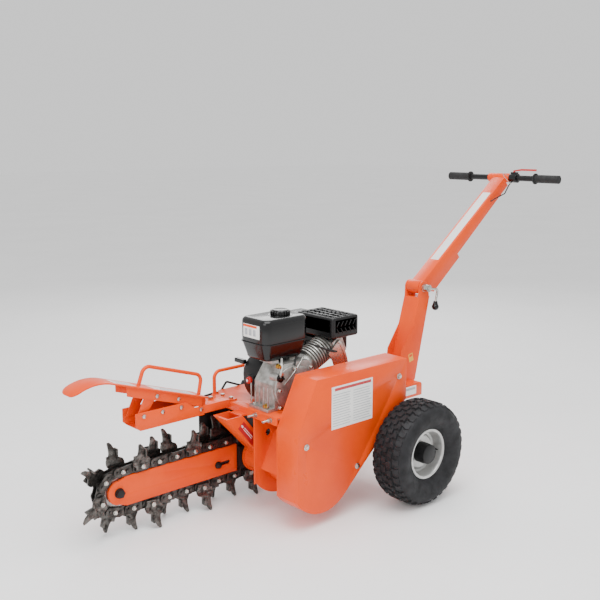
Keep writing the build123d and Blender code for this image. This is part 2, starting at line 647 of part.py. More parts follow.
def chain():
    """Every link, tooth and tooth bolt of the closed chain."""
    points = pin_points()
    count = len(points)
    inner = inner_link()
    outer = outer_link()
    kinds = (tooth(-1), tooth(1), tooth(0))
    sides = (-1, 1, 1)
    inner_links = []
    outer_links = []
    teeth = []
    bolts = []
    for k in range(count):
        x0, z0 = points[k]
        x1, z1 = points[(k + 1) % count]
        turn = degrees(atan2(z1 - z0, x1 - x0)) - 180
        place = Pos((x0 + x1) / 2, DIG_Y, (z0 + z1) / 2) * Rot(0, -turn, 0)
        if k % 2 == 0:
            inner_links.append(place * inner)
            continue
        outer_links.append(place * outer)
        number = (k // 2) % 3
        teeth.append(place * kinds[number])
        face = STRAP_B + TOOTH_T
        y = sides[number] * face
        z = sides[number] * (face + 7)
        bolts.append(place * hex_y(0, 4, 15, min(y, z), max(y, z)))
    save("chain_inner_links", *inner_links)
    save("chain_outer_links", *outer_links)
    save("digging_teeth", *teeth)
    save("tooth_bolts", *bolts)


# ---------------------------------------------------------------- crumber frame
def tongue_z(x):
    """Height of the tongue's top face at x, on its straight part."""
    return TONGUE_REAR_Z + (TONGUE_REAR_X - x) * SLOPE


def crumber():
    """Bracket, lower channel, upper channel, struts and tongue."""
    near = DIG_Y - CRUMB_HALF
    far = DIG_Y + CRUMB_HALF
    t = CRUMB_T
    low_z = BEAM_LOW + 5
    bracket = box(BRACKET_FRONT, DECK_FRONT, near, far, low_z, BRACKET_TOP)
    bracket = bracket - box(BRACKET_FRONT - 1, DECK_FRONT - t, near + t, far - t, low_z - 1, BRACKET_TOP - t)
    lip = box(DECK_FRONT, DECK_FRONT + 34, near + 4, far - 4, DECK_Z, DECK_Z + 5)
    step = prism_y([
        (BRACKET_FRONT, BRACKET_TOP), (BRACKET_FRONT + 15, BRACKET_TOP),
        (BRACKET_FRONT + 15, tongue_z(BRACKET_FRONT + 15) - TONGUE_T - 0.5),
        (BRACKET_FRONT, tongue_z(BRACKET_FRONT) - TONGUE_T - 0.5),
    ], near + 14, far - 14)
    save("front_bracket", bracket + lip + step)

    side_view = [
        (BEAM_FRONT, BEAM_TOP), (BEAM_FRONT + 196, BEAM_TOP), (BRACKET_FRONT - 38, BRACKET_TOP),
        (BRACKET_FRONT, BRACKET_TOP), (BRACKET_FRONT, BEAM_LOW), (BEAM_FRONT + 16, BEAM_LOW),
        (BEAM_FRONT, BEAM_LOW + 14),
    ]
    beam = prism_y(side_view, near, far)
    beam = beam - box(BEAM_FRONT - 1, BRACKET_FRONT + 1, near + t, far - t, BEAM_LOW + t, BEAM_TOP + 1)
    save("crumber_beam", beam)

    under = TONGUE_T / cos(radians(TONGUE_SLOPE)) + 0.1
    depth = 33.0
    front = BEAM_FRONT - 25
    rear = BRACKET_FRONT - 4
    cheeks = []
    for side in (-1, 1):
        a = DIG_Y + side * (CRUMB_HALF - t - 0.2)
        b = a - side * t
        c = b
        d = c - side * t
        cheek = prism_y([
            (front, tongue_z(front) - under), (rear, tongue_z(rear) - under),
            (rear, tongue_z(rear) - under - depth), (front, tongue_z(front) - under - depth),
        ], min(a, b), max(a, b))
        foot = BEAM_FRONT + 14
        head = BEAM_FRONT + 62
        strut = prism_y([
            (foot - 8, BEAM_TOP - 26), (foot + 26, BEAM_TOP - 26), (head + 28, tongue_z(head) - under - 22),
            (head - 14, tongue_z(head) - under - 8),
        ], min(c, d), max(c, d))
        cheeks.append(cheek + strut)
    save("crumber_cheeks", *cheeks)

    bolts = []
    for side in (-1, 1):
        a = DIG_Y + side * CRUMB_HALF
        b = a + side * 5
        for x in (BEAM_FRONT + 29, BEAM_FRONT + 101, BEAM_FRONT + 175):
            bolts.append(hex_y(x, BEAM_TOP - 12, 13, min(a, b), max(a, b)))
        bolts.append(hex_y(BRACKET_FRONT - 15, BRACKET_TOP - 10, 13, min(a, b), max(a, b)))
        c = DIG_Y + side * (CRUMB_HALF - t - 0.2)
        d = DIG_Y + side * (CRUMB_HALF - 1)
        for x in (BEAM_FRONT + 85, BEAM_FRONT + 169):
            bolts.append(hex_y(x, tongue_z(x) - 22, 13, min(c, d), max(c, d)))
    for x in (BRACKET_FRONT + 30, BRACKET_FRONT + 62):
        bolts.append(hex_z(x, DIG_Y + 6, 16, BRACKET_TOP, BRACKET_TOP + 9))
    for y in (DIG_Y - 25, DIG_Y + 25):
        bolts.append(hex_z(DECK_FRONT + 17, y, 14, DECK_Z + 5, DECK_Z + 12))
    bolts.append(hex_z(DECK_FRONT + 31, DIG_Y + 80, 14, DECK_Z, DECK_Z + 7))
    add("frame_bolts", *bolts)
    tongue()


def tongue():
    """A sloping strip whose front curls down, with rounded front corners."""
    lean = radians(TONGUE_SLOPE)
    curl = radians(TONGUE_SLOPE + TONGUE_CURL)
    crest_z = tongue_z(TONGUE_CREST_X)
    cx = TONGUE_CREST_X - TONGUE_BEND * sin(lean)
    cz = crest_z - TONGUE_BEND * cos(lean)
    start = pi / 2 - lean
    inner = TONGUE_BEND - TONGUE_T
    ends = []
    for r in (TONGUE_BEND, inner):
        ends.append([(cx + r * cos(start + k * curl / 2), 0, cz + r * sin(start + k * curl / 2)) for k in range(3)])
    top, low = ends
    heel_top = (TONGUE_REAR_X, 0, TONGUE_REAR_Z)
    heel_low = (TONGUE_REAR_X - TONGUE_T * sin(lean), 0, TONGUE_REAR_Z - TONGUE_T * cos(lean))
    edges = [
        Line(heel_top, top[0]), ThreePointArc(*top), Line(top[2], low[2]),
        ThreePointArc(low[2], low[1], low[0]), Line(low[0], heel_low), Line(heel_low, heel_top),
    ]
    half = CRUMB_HALF + 2
    plate = Pos(0, DIG_Y - half, 0) * extrude(make_face(Wire(edges)), amount=2 * half, dir=(0, 1, 0))
    corners = [e for e in plate.edges() if e.length < TONGUE_T + 0.1 and e.center().X < TONGUE_CREST_X]
    save("tongue_plate", fillet(corners, 30))


def handles_and_shield():
    """Two grab loops, the spoil shield and its bent rod."""
    front = TONGUE_REAR_X - 247
    rear = TONGUE_REAR_X - 8
    rise = 62.0
    path = [
        (front, DIG_Y + 2, tongue_z(front) - 3), (front + 24, DIG_Y + 2, tongue_z(front) + rise),
        (rear + 14, DIG_Y + 2, tongue_z(rear) + rise + 4), (rear, DIG_Y + 2, tongue_z(rear) - 3),
    ]
    loop = rod(path, ROD_R, 26)
    foot = prism_y([
        (front - 40, tongue_z(front - 40)), (rear + 40, tongue_z(rear + 40)),
        (rear + 40, tongue_z(rear + 40) - 30), (front - 40, tongue_z(front - 40) - 30),
    ], DIG_Y - 40, DIG_Y + 40)
    second = [
        (DECK_FRONT + 11, LOOP_Y, DECK_Z), (DECK_FRONT + 11, LOOP_Y, DECK_Z + 86),
        (DECK_FRONT + 253, LOOP_Y, DECK_Z + 86), (DECK_FRONT + 253, LOOP_Y, DECK_Z),
    ]
    save("grab_loops", loop - foot, rod(second, ROD_R, 26))

    shield_y = DIG_Y + 67
    front_x = DECK_FRONT - 57
    rear_x = DECK_FRONT + 213
    top = DECK_Z - SKIRT_H
    shield = prism_y([
        (front_x, top), (front_x, AXIS_Z - 10), (DRIVE_X - 70, AXIS_Z - 46), (DRIVE_X + 60, AXIS_Z - 46),
        (rear_x, AXIS_Z + 10), (rear_x, DECK_UNDER), (DECK_FRONT + SHEET, DECK_UNDER), (DECK_FRONT + SHEET, top),
    ], shield_y, shield_y + 4)
    save("spoil_shield", shield)
    y = DECK_FAR + 6
    bent = [
        (DECK_FRONT - 6, y, DECK_Z - 13), (DECK_FRONT + 34, y, DECK_Z - 10), (DECK_FRONT + 62, y, DECK_Z - 21),
        (DECK_FRONT + 99, y, DECK_Z + 23), (DECK_FRONT + 194, y, DECK_Z - 15), (DECK_FRONT + 250, y, DECK_Z - 15),
    ]
    held = rod(bent, 4, 8)
    for x, z in ((DECK_FRONT + 62, DECK_Z - 22), (DECK_FRONT + 225, DECK_Z - 22)):
        held = held + box(x - 7, x + 7, DECK_FAR, y + 3, z - 8, z + 6)
    save("shield_rod", held)


# ---------------------------------------------------------------- engine
def along(s, n):
    """A point s along the cylinder's axis from the crank and n across it."""
    a = radians(CYL_TILT)
    return (CRANK_X + s * cos(a) - n * sin(a), CRANK_Z + s * sin(a) + n * cos(a))


def tilted(s0, s1, n0, n1, y0, y1):
    """A block in the cylinder's own directions."""
    return prism_y([along(s0, n0), along(s1, n0), along(s1, n1), along(s0, n1)], y0, y1)


def fin(s0, s1, r, mid_y):
    """A round disc or barrel on the cylinder's axis."""
    x, z = along((s0 + s1) / 2, 10)
    return Pos(x, mid_y, z) * Rot(0, 90 - CYL_TILT, 0) * Cylinder(r, s1 - s0)


def engine():
    """Crankcase, cover, cylinder, head, shroud and housings."""
    x0 = CRANK_X - 105
    x1 = CRANK_X + 75
    foot = box(x0 - 30, x1 + 25, PTO_Y + 15, CASE_REAR, DECK_Z, DECK_Z + 12)
    case = prism_y([
        (x0, DECK_Z + 12), (x0 - 6, CRANK_Z + 10), (x0 + 40, TANK[4] - 10), (x1 - 30, TANK[4] - 10),
        (x1, CRANK_Z + 40), (x1, DECK_Z + 12),
    ], PTO_Y + 15, CASE_REAR)
    case = case + foot
    for x in ENGINE_BOLT_X:
        for y in ENGINE_BOLT_Y:
            case = case - bar_z(x, y, 4 + HOLE_GAP, DECK_Z - 1, DECK_Z + 13)
    case = case - bar_y(CRANK_X, CRANK_Z, CRANK_R + 1, PTO_Y, PTO_Y + 30)
    block = cylinder()
    case = case - block
    fx = CRANK_X - 96
    fz = CRANK_Z + 36
    cover = crank_cover()
    case = case + bar_y(fx, fz, 14, PTO_Y, PTO_Y + 40)
    for x in (TANK[0] + 60, TANK[1] - 60):
        case = case + box(x - 14, x + 14, TANK[2] + 20, CASE_REAR - 1, TANK[4] - 10, TANK[4])
    save("engine_crankcase", case - cover - block)
    save("crankcase_cover", cover)
    save("engine_cylinder", block)
    bolts = []
    for x in ENGINE_BOLT_X:
        for y in ENGINE_BOLT_Y:
            bolt = bar_z(x, y, 4, DECK_UNDER - 4, DECK_Z + 12) + hex_z(x, y, 13, DECK_Z + 12, DECK_Z + 18)
            bolts.append(bolt + hex_z(x, y, 13, DECK_UNDER - 7, DECK_UNDER))
    add("frame_bolts", *bolts)
    shroud_and_fan()


def crank_cover():
    """The bolted cover on the crankcase's belt side."""
    cover = bar_y(CRANK_X - 40, CRANK_Z - 6, 74, PTO_Y, PTO_Y + 15) + bar_y(CRANK_X, CRANK_Z, 60, PTO_Y, PTO_Y + 15)
    cover = cover + ring_y(CRANK_X, CRANK_Z, 34, CRANK_R + RUN_GAP + 0.5, PTO_Y - 8, PTO_Y)
    return cover - bar_y(CRANK_X, CRANK_Z, CRANK_R + RUN_GAP + 0.5, PTO_Y - 9, PTO_Y + 16)


def cylinder():
    """Finned barrel, head and rocker cover."""
    block = fin(60, 194, FIN_R - 12, -100)
    for k in range(FINS):
        s = 102 + k * 11
        block = block + fin(s, s + 4, FIN_R, -100)
    return block + tilted(194, 228, -42, 38, -155, -50) + tilted(228, 252, -32, 34, -145, -60)


def shroud_and_fan():
    """Round shroud sheet, fan housing, switch base and recoil cover."""

    sx = CRANK_X + 39
    sz = CRANK_Z - 5
    disc = bar_y(sx, sz, 189, -161, -158) - bar_y(sx, sz, 130, -162, -157)
    disc = disc + ring_y(sx, sz, 198, 188, -163, -156)
    keep = prism_y([(sx, sz), (sx + 240, sz + 40), (sx + 200, sz + 172)], -163, -155)
    stay_x, stay_z = along(212, -30)
    save("cylinder_shroud", (disc & keep) + bar_y(stay_x, stay_z, 6, -158, -155))

    fan = bar_y(CRANK_X, CRANK_Z, FAN_R, CASE_REAR, FAN_END)
    fan = fan - box(CRANK_X - 200, CRANK_X + 200, CASE_REAR - 1, FAN_END + 1, 0, DECK_Z + 4)
    fan = fan - box(CRANK_X - 200, CRANK_X + 200, CASE_REAR - 1, FAN_END + 1, TANK[4], 900)
    sx = CRANK_X - FAN_R
    base = box(sx - 12, sx + 12, -40, -8, CRANK_Z - 12, CRANK_Z + 20)
    save("fan_housing", fan + base)
    cover_end = FAN_END + 44
    recoil = turned_y([
        (0, FAN_END), (FAN_R - 18, FAN_END), (FAN_R - 18, FAN_END + 22), (FAN_R - 34, cover_end), (0, cover_end),
    ], CRANK_X, CRANK_Z)
    for k in range(12):
        a = radians(30 * k)
        x = CRANK_X + 42 * cos(a)
        z = CRANK_Z + 42 * sin(a)
        recoil = recoil - bar_y(x, z, 5, cover_end - 4, cover_end + 1)
    save("recoil_cover", recoil)
    fuel_and_exhaust()
    small_engine_parts()


def fuel_and_exhaust():
    """Tank, filler, muffler guard, exhaust, carburettor and air cleaner."""
    x0, x1, y0, y1, z0, z1 = TANK
    seam = z1 - 14
    body = box(x0, x1, y0, y1, z0, seam)
    body = fillet(body.edges().filter_by(Axis.Z), 26)
    body = fillet(body.faces().sort_by(Axis.Z)[0].edges(), 18)
    top = box(x0 + 3, x1 - 3, y0 + 3, y1 - 3, seam, z1)
    top = fillet(top.edges().filter_by(Axis.Z), 24)
    top = fillet(top.faces().sort_by(Axis.Z)[-1].edges(), 9)
    cap_x = x0 + 120
    cap_y = y0 + 64
    neck_top = z1 + 6
    tank = body + top + bar_z(cap_x, cap_y, 30, z1 - 5, neck_top)
    tank = tank - bar_z(cap_x, cap_y, 24, z1 - 8, neck_top + 1)
    save("fuel_tank", tank)
    cap = bar_z(cap_x, cap_y, 35, neck_top + RUN_GAP, neck_top + 14)
    cap = fillet(cap.edges().sort_by(Axis.Z)[-1], 4)
    save("fuel_cap", cap + bar_z(cap_x, cap_y, 24 - RUN_GAP, z1 - 4, neck_top + RUN_GAP))
    x0, x1, y0, y1, z0, z1 = MUFFLER
    shell = fillet(box(x0, x1, y0, y1, z0, z1).edges(), 9)
    for i in range(5):
        for j in range(8):
            x = x0 + 24 + i * 20.5
            y = y0 + 24 + j * 20.0
            shell = shell - bar_z(x, y, 3.5, z1 - 3, z1 + 1)
    block = cylinder()
    pipe = bar_z(along(212, 38)[0], -120, 17, z0 - 30, z0 + 1) - block
    stay = box(x1 - 44, x1 - 20, y0 + 40, y0 + 64, CRANK_Z + 82, z0 + 1) - block
    save("muffler_guard", (shell - block) + pipe + stay)

    carb = box(CRANK_X + 165, CRANK_X + 205, -50, 23, z0 - 62, z0 - 16)
    cleaner = fillet(box(CRANK_X + 125, CRANK_X + 250, 22, 108, z0 - 70, z0 + 60).edges(), 8)
    save("air_cleaner", cleaner + (carb - block))


def small_engine_parts():
    """Switch, oil filler, recoil handle."""
    sx = CRANK_X - FAN_R
    knob = bar_x(-24, CRANK_Z + 4, 12, sx - 22, sx - 12 - RUN_GAP)
    knob = fillet(knob.edges().sort_by(Axis.X)[0], 3)
    grip = box(sx - 26, sx - 21, -27, -21, CRANK_Z - 5, CRANK_Z + 13)
    save("engine_switch", knob + grip)
    fx = CRANK_X - 96
    fz = CRANK_Z + 36
    plug = bar_y(fx, fz, 13, PTO_Y - 8, PTO_Y - RUN_GAP)
    save("oil_plug", plug + box(fx - 10, fx + 10, PTO_Y - 16, PTO_Y - 7, fz - 2.5, fz + 2.5))
    rx = CRANK_X - 84
    ry = FAN_END + 30
    rz = CRANK_Z + 52
    handle = fillet(box(rx - 10, rx + 8, ry - 26, ry + 26, rz - 7, rz + 9).edges(), 4)
    save("recoil_grip", handle)


# ---------------------------------------------------------------- steering column
def arm_point(s, n):
    """A point s along the upper arm from the pivot and n above its centre line."""
    a = radians(ARM_TILT)
    return (PIVOT_X + s * cos(a) - n * sin(a), PIVOT_Z + s * sin(a) + n * cos(a))


def arm_prism(points, y0, y1):
    """An outline in the arm's own directions, as thick as from y0 to y1."""
    return prism_y([arm_point(s, n) for s, n in points], y0, y1)


def post():
    """Leaning box post with clevis ears, gusset and pivot bolt."""
    half = POST_W / 2
    rise = POST_TOP - RAIL_TOP
    front_low = PIVOT_X - 29 - rise * 0.2935
    rear_low = PIVOT_X + 36 - rise * 0.2355
    body = prism_y([
        (front_low, RAIL_TOP), (PIVOT_X - 29, POST_TOP), (PIVOT_X + 36, POST_TOP), (rear_low, RAIL_TOP),
    ], -half, half)
    hollow = prism_y([
        (front_low + 6, RAIL_TOP - 1), (PIVOT_X - 22, POST_TOP - 6), (PIVOT_X + 29, POST_TOP - 6),
        (rear_low - 6, RAIL_TOP - 1),
    ], -half + 4, half - 4)
    body = body - hollow
    for side in (-1, 1):
        a = side * half
        b = side * (half - EAR_T)
        ear = prism_y([
            (PIVOT_X - 29, POST_TOP - 8), (PIVOT_X - 27, PIVOT_Z), (PIVOT_X + 27, PIVOT_Z), (PIVOT_X + 34, POST_TOP - 8),
        ], min(a, b), max(a, b))
        body = body + ear + bar_y(PIVOT_X, PIVOT_Z, 27, min(a, b), max(a, b))
    body = body - bar_y(PIVOT_X, PIVOT_Z, PIVOT_R, -half - 1, half + 1)
    top = RAIL_TOP + rise * 0.67
    gusset = prism_y([
        (front_low - 14, RAIL_TOP), (front_low, RAIL_TOP),
        (front_low + (top - RAIL_TOP) * 0.2935, top), (front_low + 1, RAIL_TOP + 135),
    ], -half, -half + 5)
    twin = Pos(0, POST_W - 5, 0) * gusset
    save("lower_post", body + gusset + twin)
    bolt = bar_y(PIVOT_X, PIVOT_Z, PIVOT_R, -half - 30, half + 4)
    bolt = bolt + hex_y(PIVOT_X, PIVOT_Z, 27, half, half + 11)
    add("frame_bolts", bolt + ring_y(PIVOT_X, PIVOT_Z, 16, PIVOT_R - 1, -half - 3, -half))


def clamp_lever():
    """Clamping nut with a hanging bent lever and its knob."""
    near = -POST_W / 2 - 3 - RUN_GAP
    nut = ring_y(PIVOT_X, PIVOT_Z, 15, PIVOT_R + RUN_GAP, near - 24, near)
    y = near - 14
    x0 = PIVOT_X + 12
    lever = rod([
        (x0, y, PIVOT_Z - 3), (PIVOT_X + 67, y, PIVOT_Z - 12), (PIVOT_X + 55, y, PIVOT_Z - 66),
    ], 5, 12)
    save("clamp_lever", nut + lever)
    kx = PIVOT_X + 54
    knob = Pos(kx, y, PIVOT_Z - 84) * Sphere(15) + Pos(kx, y, PIVOT_Z - 70) * Cone(13, 8, 20)
    save("clamp_knob", knob - lever)


def upper_arm():
    """Folding arm, T-bar, grips, lever housing, lever and cable."""
    half = ARM_W / 2
    end = ARM_LEN - 18
    shape = [(0, 16), (end, 16), (end, -29), (270, -42), (30, -44), (0, -ARM_ROUND)]
    arm = arm_prism(shape, -half, half) + bar_y(PIVOT_X, PIVOT_Z, ARM_ROUND, -half, half)
    hollow = [(36, 12), (end - 4, 12), (end - 4, -25), (270, -38), (36, -40)]
    arm = arm - arm_prism(hollow, -half + 4, half - 4)
    arm = arm + arm_prism([(44, -43), (262, -41), (262, -70), (50, -74)], -half + 8, half - 8)
    arm = arm - bar_y(PIVOT_X, PIVOT_Z, PIVOT_R + RUN_GAP, -half - 1, half + 1)
    collar = bar_y(BAR_X, BAR_Z, BAR_R + 7, -half - 16, half + 34)
    arm = arm + collar - bar_y(BAR_X, BAR_Z, BAR_R, -half - 20, half + 40)
    save("upper_arm", arm)
    bar_end = GRIP_IN + GRIP_LEN - 4
    save("t_bar", bar_y(BAR_X, BAR_Z, BAR_R, -bar_end, bar_end))
    grips = []
    for side in (-1, 1):
        a = side * GRIP_IN
        b = side * (GRIP_IN + GRIP_LEN)
        grip = bar_y(BAR_X, BAR_Z, GRIP_R, min(a, b), max(a, b))
        c = side * (GRIP_IN + 5)
        grip = grip + bar_y(BAR_X, BAR_Z, GRIP_R + 6, min(a, c), max(a, c))
        grips.append(grip - bar_y(BAR_X, BAR_Z, BAR_R, -bar_end, bar_end))
    save("grips", *grips)

    y0 = -half - 53
    y1 = -half - 17
    house = bar_y(BAR_X, BAR_Z, BAR_R + 8, y0, y1) + box(BAR_X - 9, BAR_X + 9, y0 + 4, y1 - 4, BAR_Z, BAR_Z + 26)
    slot = box(BAR_X - 4, BAR_X + 4, y0, y1 - 10, BAR_Z + 20.5, BAR_Z + 30)
    house = house - slot - bar_y(BAR_X, BAR_Z, BAR_R, y0 - 1, y1 + 1)
    pin_y = y1 - 14
    pin_z = BAR_Z + 24
    house = house + bar_x(pin_y, pin_z, LEVER_PIN_R, BAR_X - 8, BAR_X + 8)
    save("lever_housing", house)
    lift = BAR_Z + 33
    lever = [
        (pin_y, lift - 5), (y0 - 20, lift), (y0 - 92, lift), (y0 - 92, lift + 8), (y0 - 20, lift + 8), (pin_y, lift + 1),
    ]
    wire = Polyline(*[(BAR_X - 3.5, y, z) for y, z in lever], close=True)
    arm = extrude(make_face(wire), amount=7, dir=(1, 0, 0))
    arm = arm + box(BAR_X - 3.5, BAR_X + 3.5, pin_y - 6, pin_y, pin_z, lift + 1)
    arm = arm + bar_x(pin_y, pin_z, LEVER_EYE_R, BAR_X - 3.5, BAR_X + 3.5)
    save("safety_lever", arm - bar_x(pin_y, pin_z, LEVER_PIN_R + 0.15, BAR_X - 9, BAR_X + 9))

    # the control cable runs from the lever housing to a hole in the arm's side
    px, pz = arm_point(ARM_LEN - 140, -6)
    qx, qz = arm_point(ARM_LEN - 60, -12)
    cable_y = -half - 10
    path = [
        (BAR_X - 30, y1 - 12, BAR_Z - 30), (qx, cable_y - 6, qz - 22), (px, cable_y, pz), (px - 14, -half, pz - 10),
    ]
    first = (BAR_X - 8, y1 - 12, BAR_Z - 15)
    cable = rod([first] + path, 2.5, 9)
    cable = cable - bar_y(BAR_X, BAR_Z, BAR_R + 8, y0, y1) - box(0, 2000, -half, half, 0, 2000)
    save("control_cable", cable)


# ---------------------------------------------------------------- build and write
for side_sign, side_name in ((-1, "near"), (1, "far")):
    wheel(side_sign, side_name)
axle()
deck()
frame()
neck()
guard()
belt_drive()
boom()
sprocket_and_nose()
chain()
crumber()
handles_and_shield()
engine()
post()
clamp_lever()
upper_arm()

for name, solids in PARTS.items():
    moved = []
    for shape in solids:
        for solid in shape.solids():
            moved.append(Pos(-ORIGIN_X, 0, 0) * solid)
    whole = moved[0] if len(moved) == 1 else Compound(children=moved)
    export_step(whole, "parts/" + name + ".step")
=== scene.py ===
# %% [markdown]
# # A walk-behind chain trencher
# The machine is a two-wheeled frame with a petrol engine, a belt guard, a short digging
# chain in front and a T-bar handle behind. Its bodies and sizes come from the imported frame.
# This lesson gives every surface its finish and adds the pieces that need a softer shape.

# %% Load the frame
import bpy, json, math, random
from mathutils import Matrix, Vector


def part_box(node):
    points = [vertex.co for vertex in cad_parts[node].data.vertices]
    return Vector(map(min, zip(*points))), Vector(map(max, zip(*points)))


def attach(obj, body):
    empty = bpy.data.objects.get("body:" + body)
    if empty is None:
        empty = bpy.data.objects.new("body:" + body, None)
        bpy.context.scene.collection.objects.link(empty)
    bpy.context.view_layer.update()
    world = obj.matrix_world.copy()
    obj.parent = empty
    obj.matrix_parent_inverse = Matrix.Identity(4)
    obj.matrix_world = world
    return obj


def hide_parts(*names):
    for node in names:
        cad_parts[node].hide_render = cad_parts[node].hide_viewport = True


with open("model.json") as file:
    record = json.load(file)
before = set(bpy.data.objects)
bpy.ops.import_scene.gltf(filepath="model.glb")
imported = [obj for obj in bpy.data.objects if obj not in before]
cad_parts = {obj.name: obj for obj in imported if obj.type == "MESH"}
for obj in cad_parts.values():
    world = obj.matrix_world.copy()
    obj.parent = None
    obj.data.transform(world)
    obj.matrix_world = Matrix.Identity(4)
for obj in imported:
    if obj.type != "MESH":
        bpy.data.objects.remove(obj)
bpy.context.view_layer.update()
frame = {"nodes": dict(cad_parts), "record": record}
random.seed(7)
nodes = frame["nodes"]
made = {}

# %% [markdown]
# ## Colours and node helper
# Paint makers give colours as sRGB hex values, but shaders work in linear light, so one
# function turns them over. Outlines are drawn in millimetres and the scene is in metres, so
# a second function scales them. A third adds any shader node with its settings and links.

# %% Three small helpers
MM = 0.001


def linear(hexa):
    """An sRGB hex colour as linear red, green, blue and alpha."""
    parts = [int(hexa[i:i + 2], 16) / 255 for i in (0, 2, 4)]
    return [c / 12.92 if c <= 0.04045 else ((c + 0.055) / 1.055) ** 2.4 for c in parts] + [1.0]


def mm(outline, side=1):
    """Outline steps given in millimetres, in metres. A side of -1 turns the outline round."""
    return [(radius * MM, side * along * MM) for radius, along in outline]


def add(tree, kind, settings=(), links=()):
    """One shader node: settings name attributes or sockets, links name (socket, node, output)."""
    made_node = tree.nodes.new(kind)
    for key, value in dict(settings).items():
        if hasattr(made_node, str(key)):
            setattr(made_node, key, value)
        else:
            made_node.inputs[key].default_value = value
    for socket, source, output in links:
        tree.links.new(source.outputs[output], made_node.inputs[socket])
    return made_node


# %% [markdown]
# ## One recipe for every finish
# No real surface has one even colour. Broad patches come from handling, dirt and uneven
# paint, and a fine grain comes from the process: orange peel, casting skin or plating. The
# recipe takes both sizes in millimetres, so a pattern has its true scale on every piece.

# %% The recipe
COLOUR_SPREAD = {"From Min": 0.38, "From Max": 0.66}
FULL_SPREAD = {"From Min": 0.3, "From Max": 0.7}
COAT_ROUGHNESS = 0.12


def finish(name, light, dark, patch_mm, grain_mm, bump_mm, rough, metallic=0.0, coat=0.0, grain_mix=0.25,
           gloss=0.5):
    """A material whose colour and roughness drift in patches, with a fine grain in its colour and bump."""
    mat = bpy.data.materials.new(name)
    mat.use_nodes = True
    tree = mat.node_tree
    shader = tree.nodes["Principled BSDF"]
    place = add(tree, "ShaderNodeTexCoord")
    here = [("Vector", place, "Object")]
    broad = {"Scale": 1 / (patch_mm * MM), "Detail": 5.0, "Roughness": 0.6}
    fine = {"Scale": 1 / (grain_mm * MM), "Detail": 3.0, "Roughness": 0.55}
    patch = add(tree, "ShaderNodeTexNoise", broad, here)
    grain = add(tree, "ShaderNodeTexNoise", fine, here)
    # the patches mix two close colours
    spread = add(tree, "ShaderNodeMapRange", COLOUR_SPREAD, [("Value", patch, "Fac")])
    colour = add(tree, "ShaderNodeMix", {"data_type": "RGBA"}, [(0, spread, "Result")])
    colour.inputs[6].default_value = linear(light)
    colour.inputs[7].default_value = linear(dark)
    # the grain darkens that colour a little
    darker = dict(FULL_SPREAD, **{"To Min": 1 - grain_mix, "To Max": 1.0})
    speck = add(tree, "ShaderNodeMapRange", darker, [("Value", grain, "Fac")])
    tone = add(tree, "ShaderNodeVectorMath", {"operation": "SCALE"}, [("Scale", speck, "Result")])
    tree.links.new(colour.outputs[2], tone.inputs[0])
    tree.links.new(tone.outputs[0], shader.inputs["Base Color"])
    # the same patches move the roughness between its two ends
    between = dict(FULL_SPREAD, **{"To Min": rough[0], "To Max": rough[1]})
    polish = add(tree, "ShaderNodeMapRange", between, [("Value", patch, "Fac")])
    tree.links.new(polish.outputs["Result"], shader.inputs["Roughness"])
    ripple = {"Strength": 1.0, "Distance": bump_mm * MM}
    height = add(tree, "ShaderNodeBump", ripple, [("Height", grain, "Fac")])
    tree.links.new(height.outputs["Normal"], shader.inputs["Normal"])
    shader.inputs["Metallic"].default_value = metallic
    shader.inputs["Coat Weight"].default_value = coat
    shader.inputs["Coat Roughness"].default_value = COAT_ROUGHNESS
    shader.inputs["Specular IOR Level"].default_value = gloss
    made[name] = mat
    return mat


# %% [markdown]
# ## Painted and plated finishes
# The frame is powder coated: a resin baked to a glossy film with a faint orange-peel ripple
# about 3 mm across. The black parts are sprayed and duller. Bolts are zinc plated, which is a
# grey metal with a soft bloom. The chain is bare steel, blued by heat and filmed with oil.

# %% Metals and paints
# gloss powder coat on the frame, guard and handle
orange = finish("powder_coat_orange", "EE4E02", "E44401", 180, 3, 0.02, (0.26, 0.4),
                coat=0.06, grain_mix=0.04, gloss=0.2)
# sprayed black on hubs, pulleys and the muffler guard
black_paint = finish("black_spray_paint", "141415", "0C0C0D", 60, 1.5, 0.03, (0.34, 0.5),
                     coat=0.05, grain_mix=0.15, gloss=0.3)
# chain plates: bare steel with an oil film
chain_steel = finish("oiled_chain_steel", "5E5B58", "2A2826", 22, 2.5, 0.12, (0.28, 0.5), 0.9,
                     grain_mix=0.35)
# teeth: forged and ground, brighter than the plates
tooth_steel = finish("forged_tooth_steel", "74716D", "33302E", 16, 3, 0.25, (0.25, 0.48), 0.9,
                     grain_mix=0.35)
# bright zinc plate on bolts
zinc = finish("zinc_plate", "D4D3CC", "A9A8A0", 9, 1.2, 0.02, (0.2, 0.36), 1.0, grain_mix=0.1)
# machined shafts
steel = finish("turned_steel", "A9A8A6", "807F7D", 14, 1.0, 0.02, (0.22, 0.36), 1.0, grain_mix=0.1)
# the engine's die castings
casting = finish("die_cast_alloy", "C9C8C4", "9A9993", 24, 2.0, 0.12, (0.36, 0.55), 0.85, grain_mix=0.2)
# silver lacquer on the rims
rim_paint = finish("silver_wheel_paint", "C6C6C4", "AFAFAD", 40, 1.2, 0.03, (0.28, 0.42), 0.6,
                   coat=0.3, grain_mix=0.08)
# fittings turned from brass bar
brass = finish("yellow_brass", "C9A14E", "9C7A34", 10, 1.0, 0.02, (0.22, 0.36), 1.0, grain_mix=0.1)
print("metals and paints:", len(made))

# %% [markdown]
# ## Plastics and rubber
# The tank and covers are blow- or injection-moulded plastic with a gloss from the polished
# mould. Rubber is matt, and the tyre has a grey dusting where it has rolled.

# %% Plastics, rubber and label film
# tank, cap, covers and knobs
gloss_black = finish("gloss_black", "0B0B0C", "070708", 80, 1.5, 0.012, (0.14, 0.24),
                     coat=0.15, grain_mix=0.06, gloss=0.35)
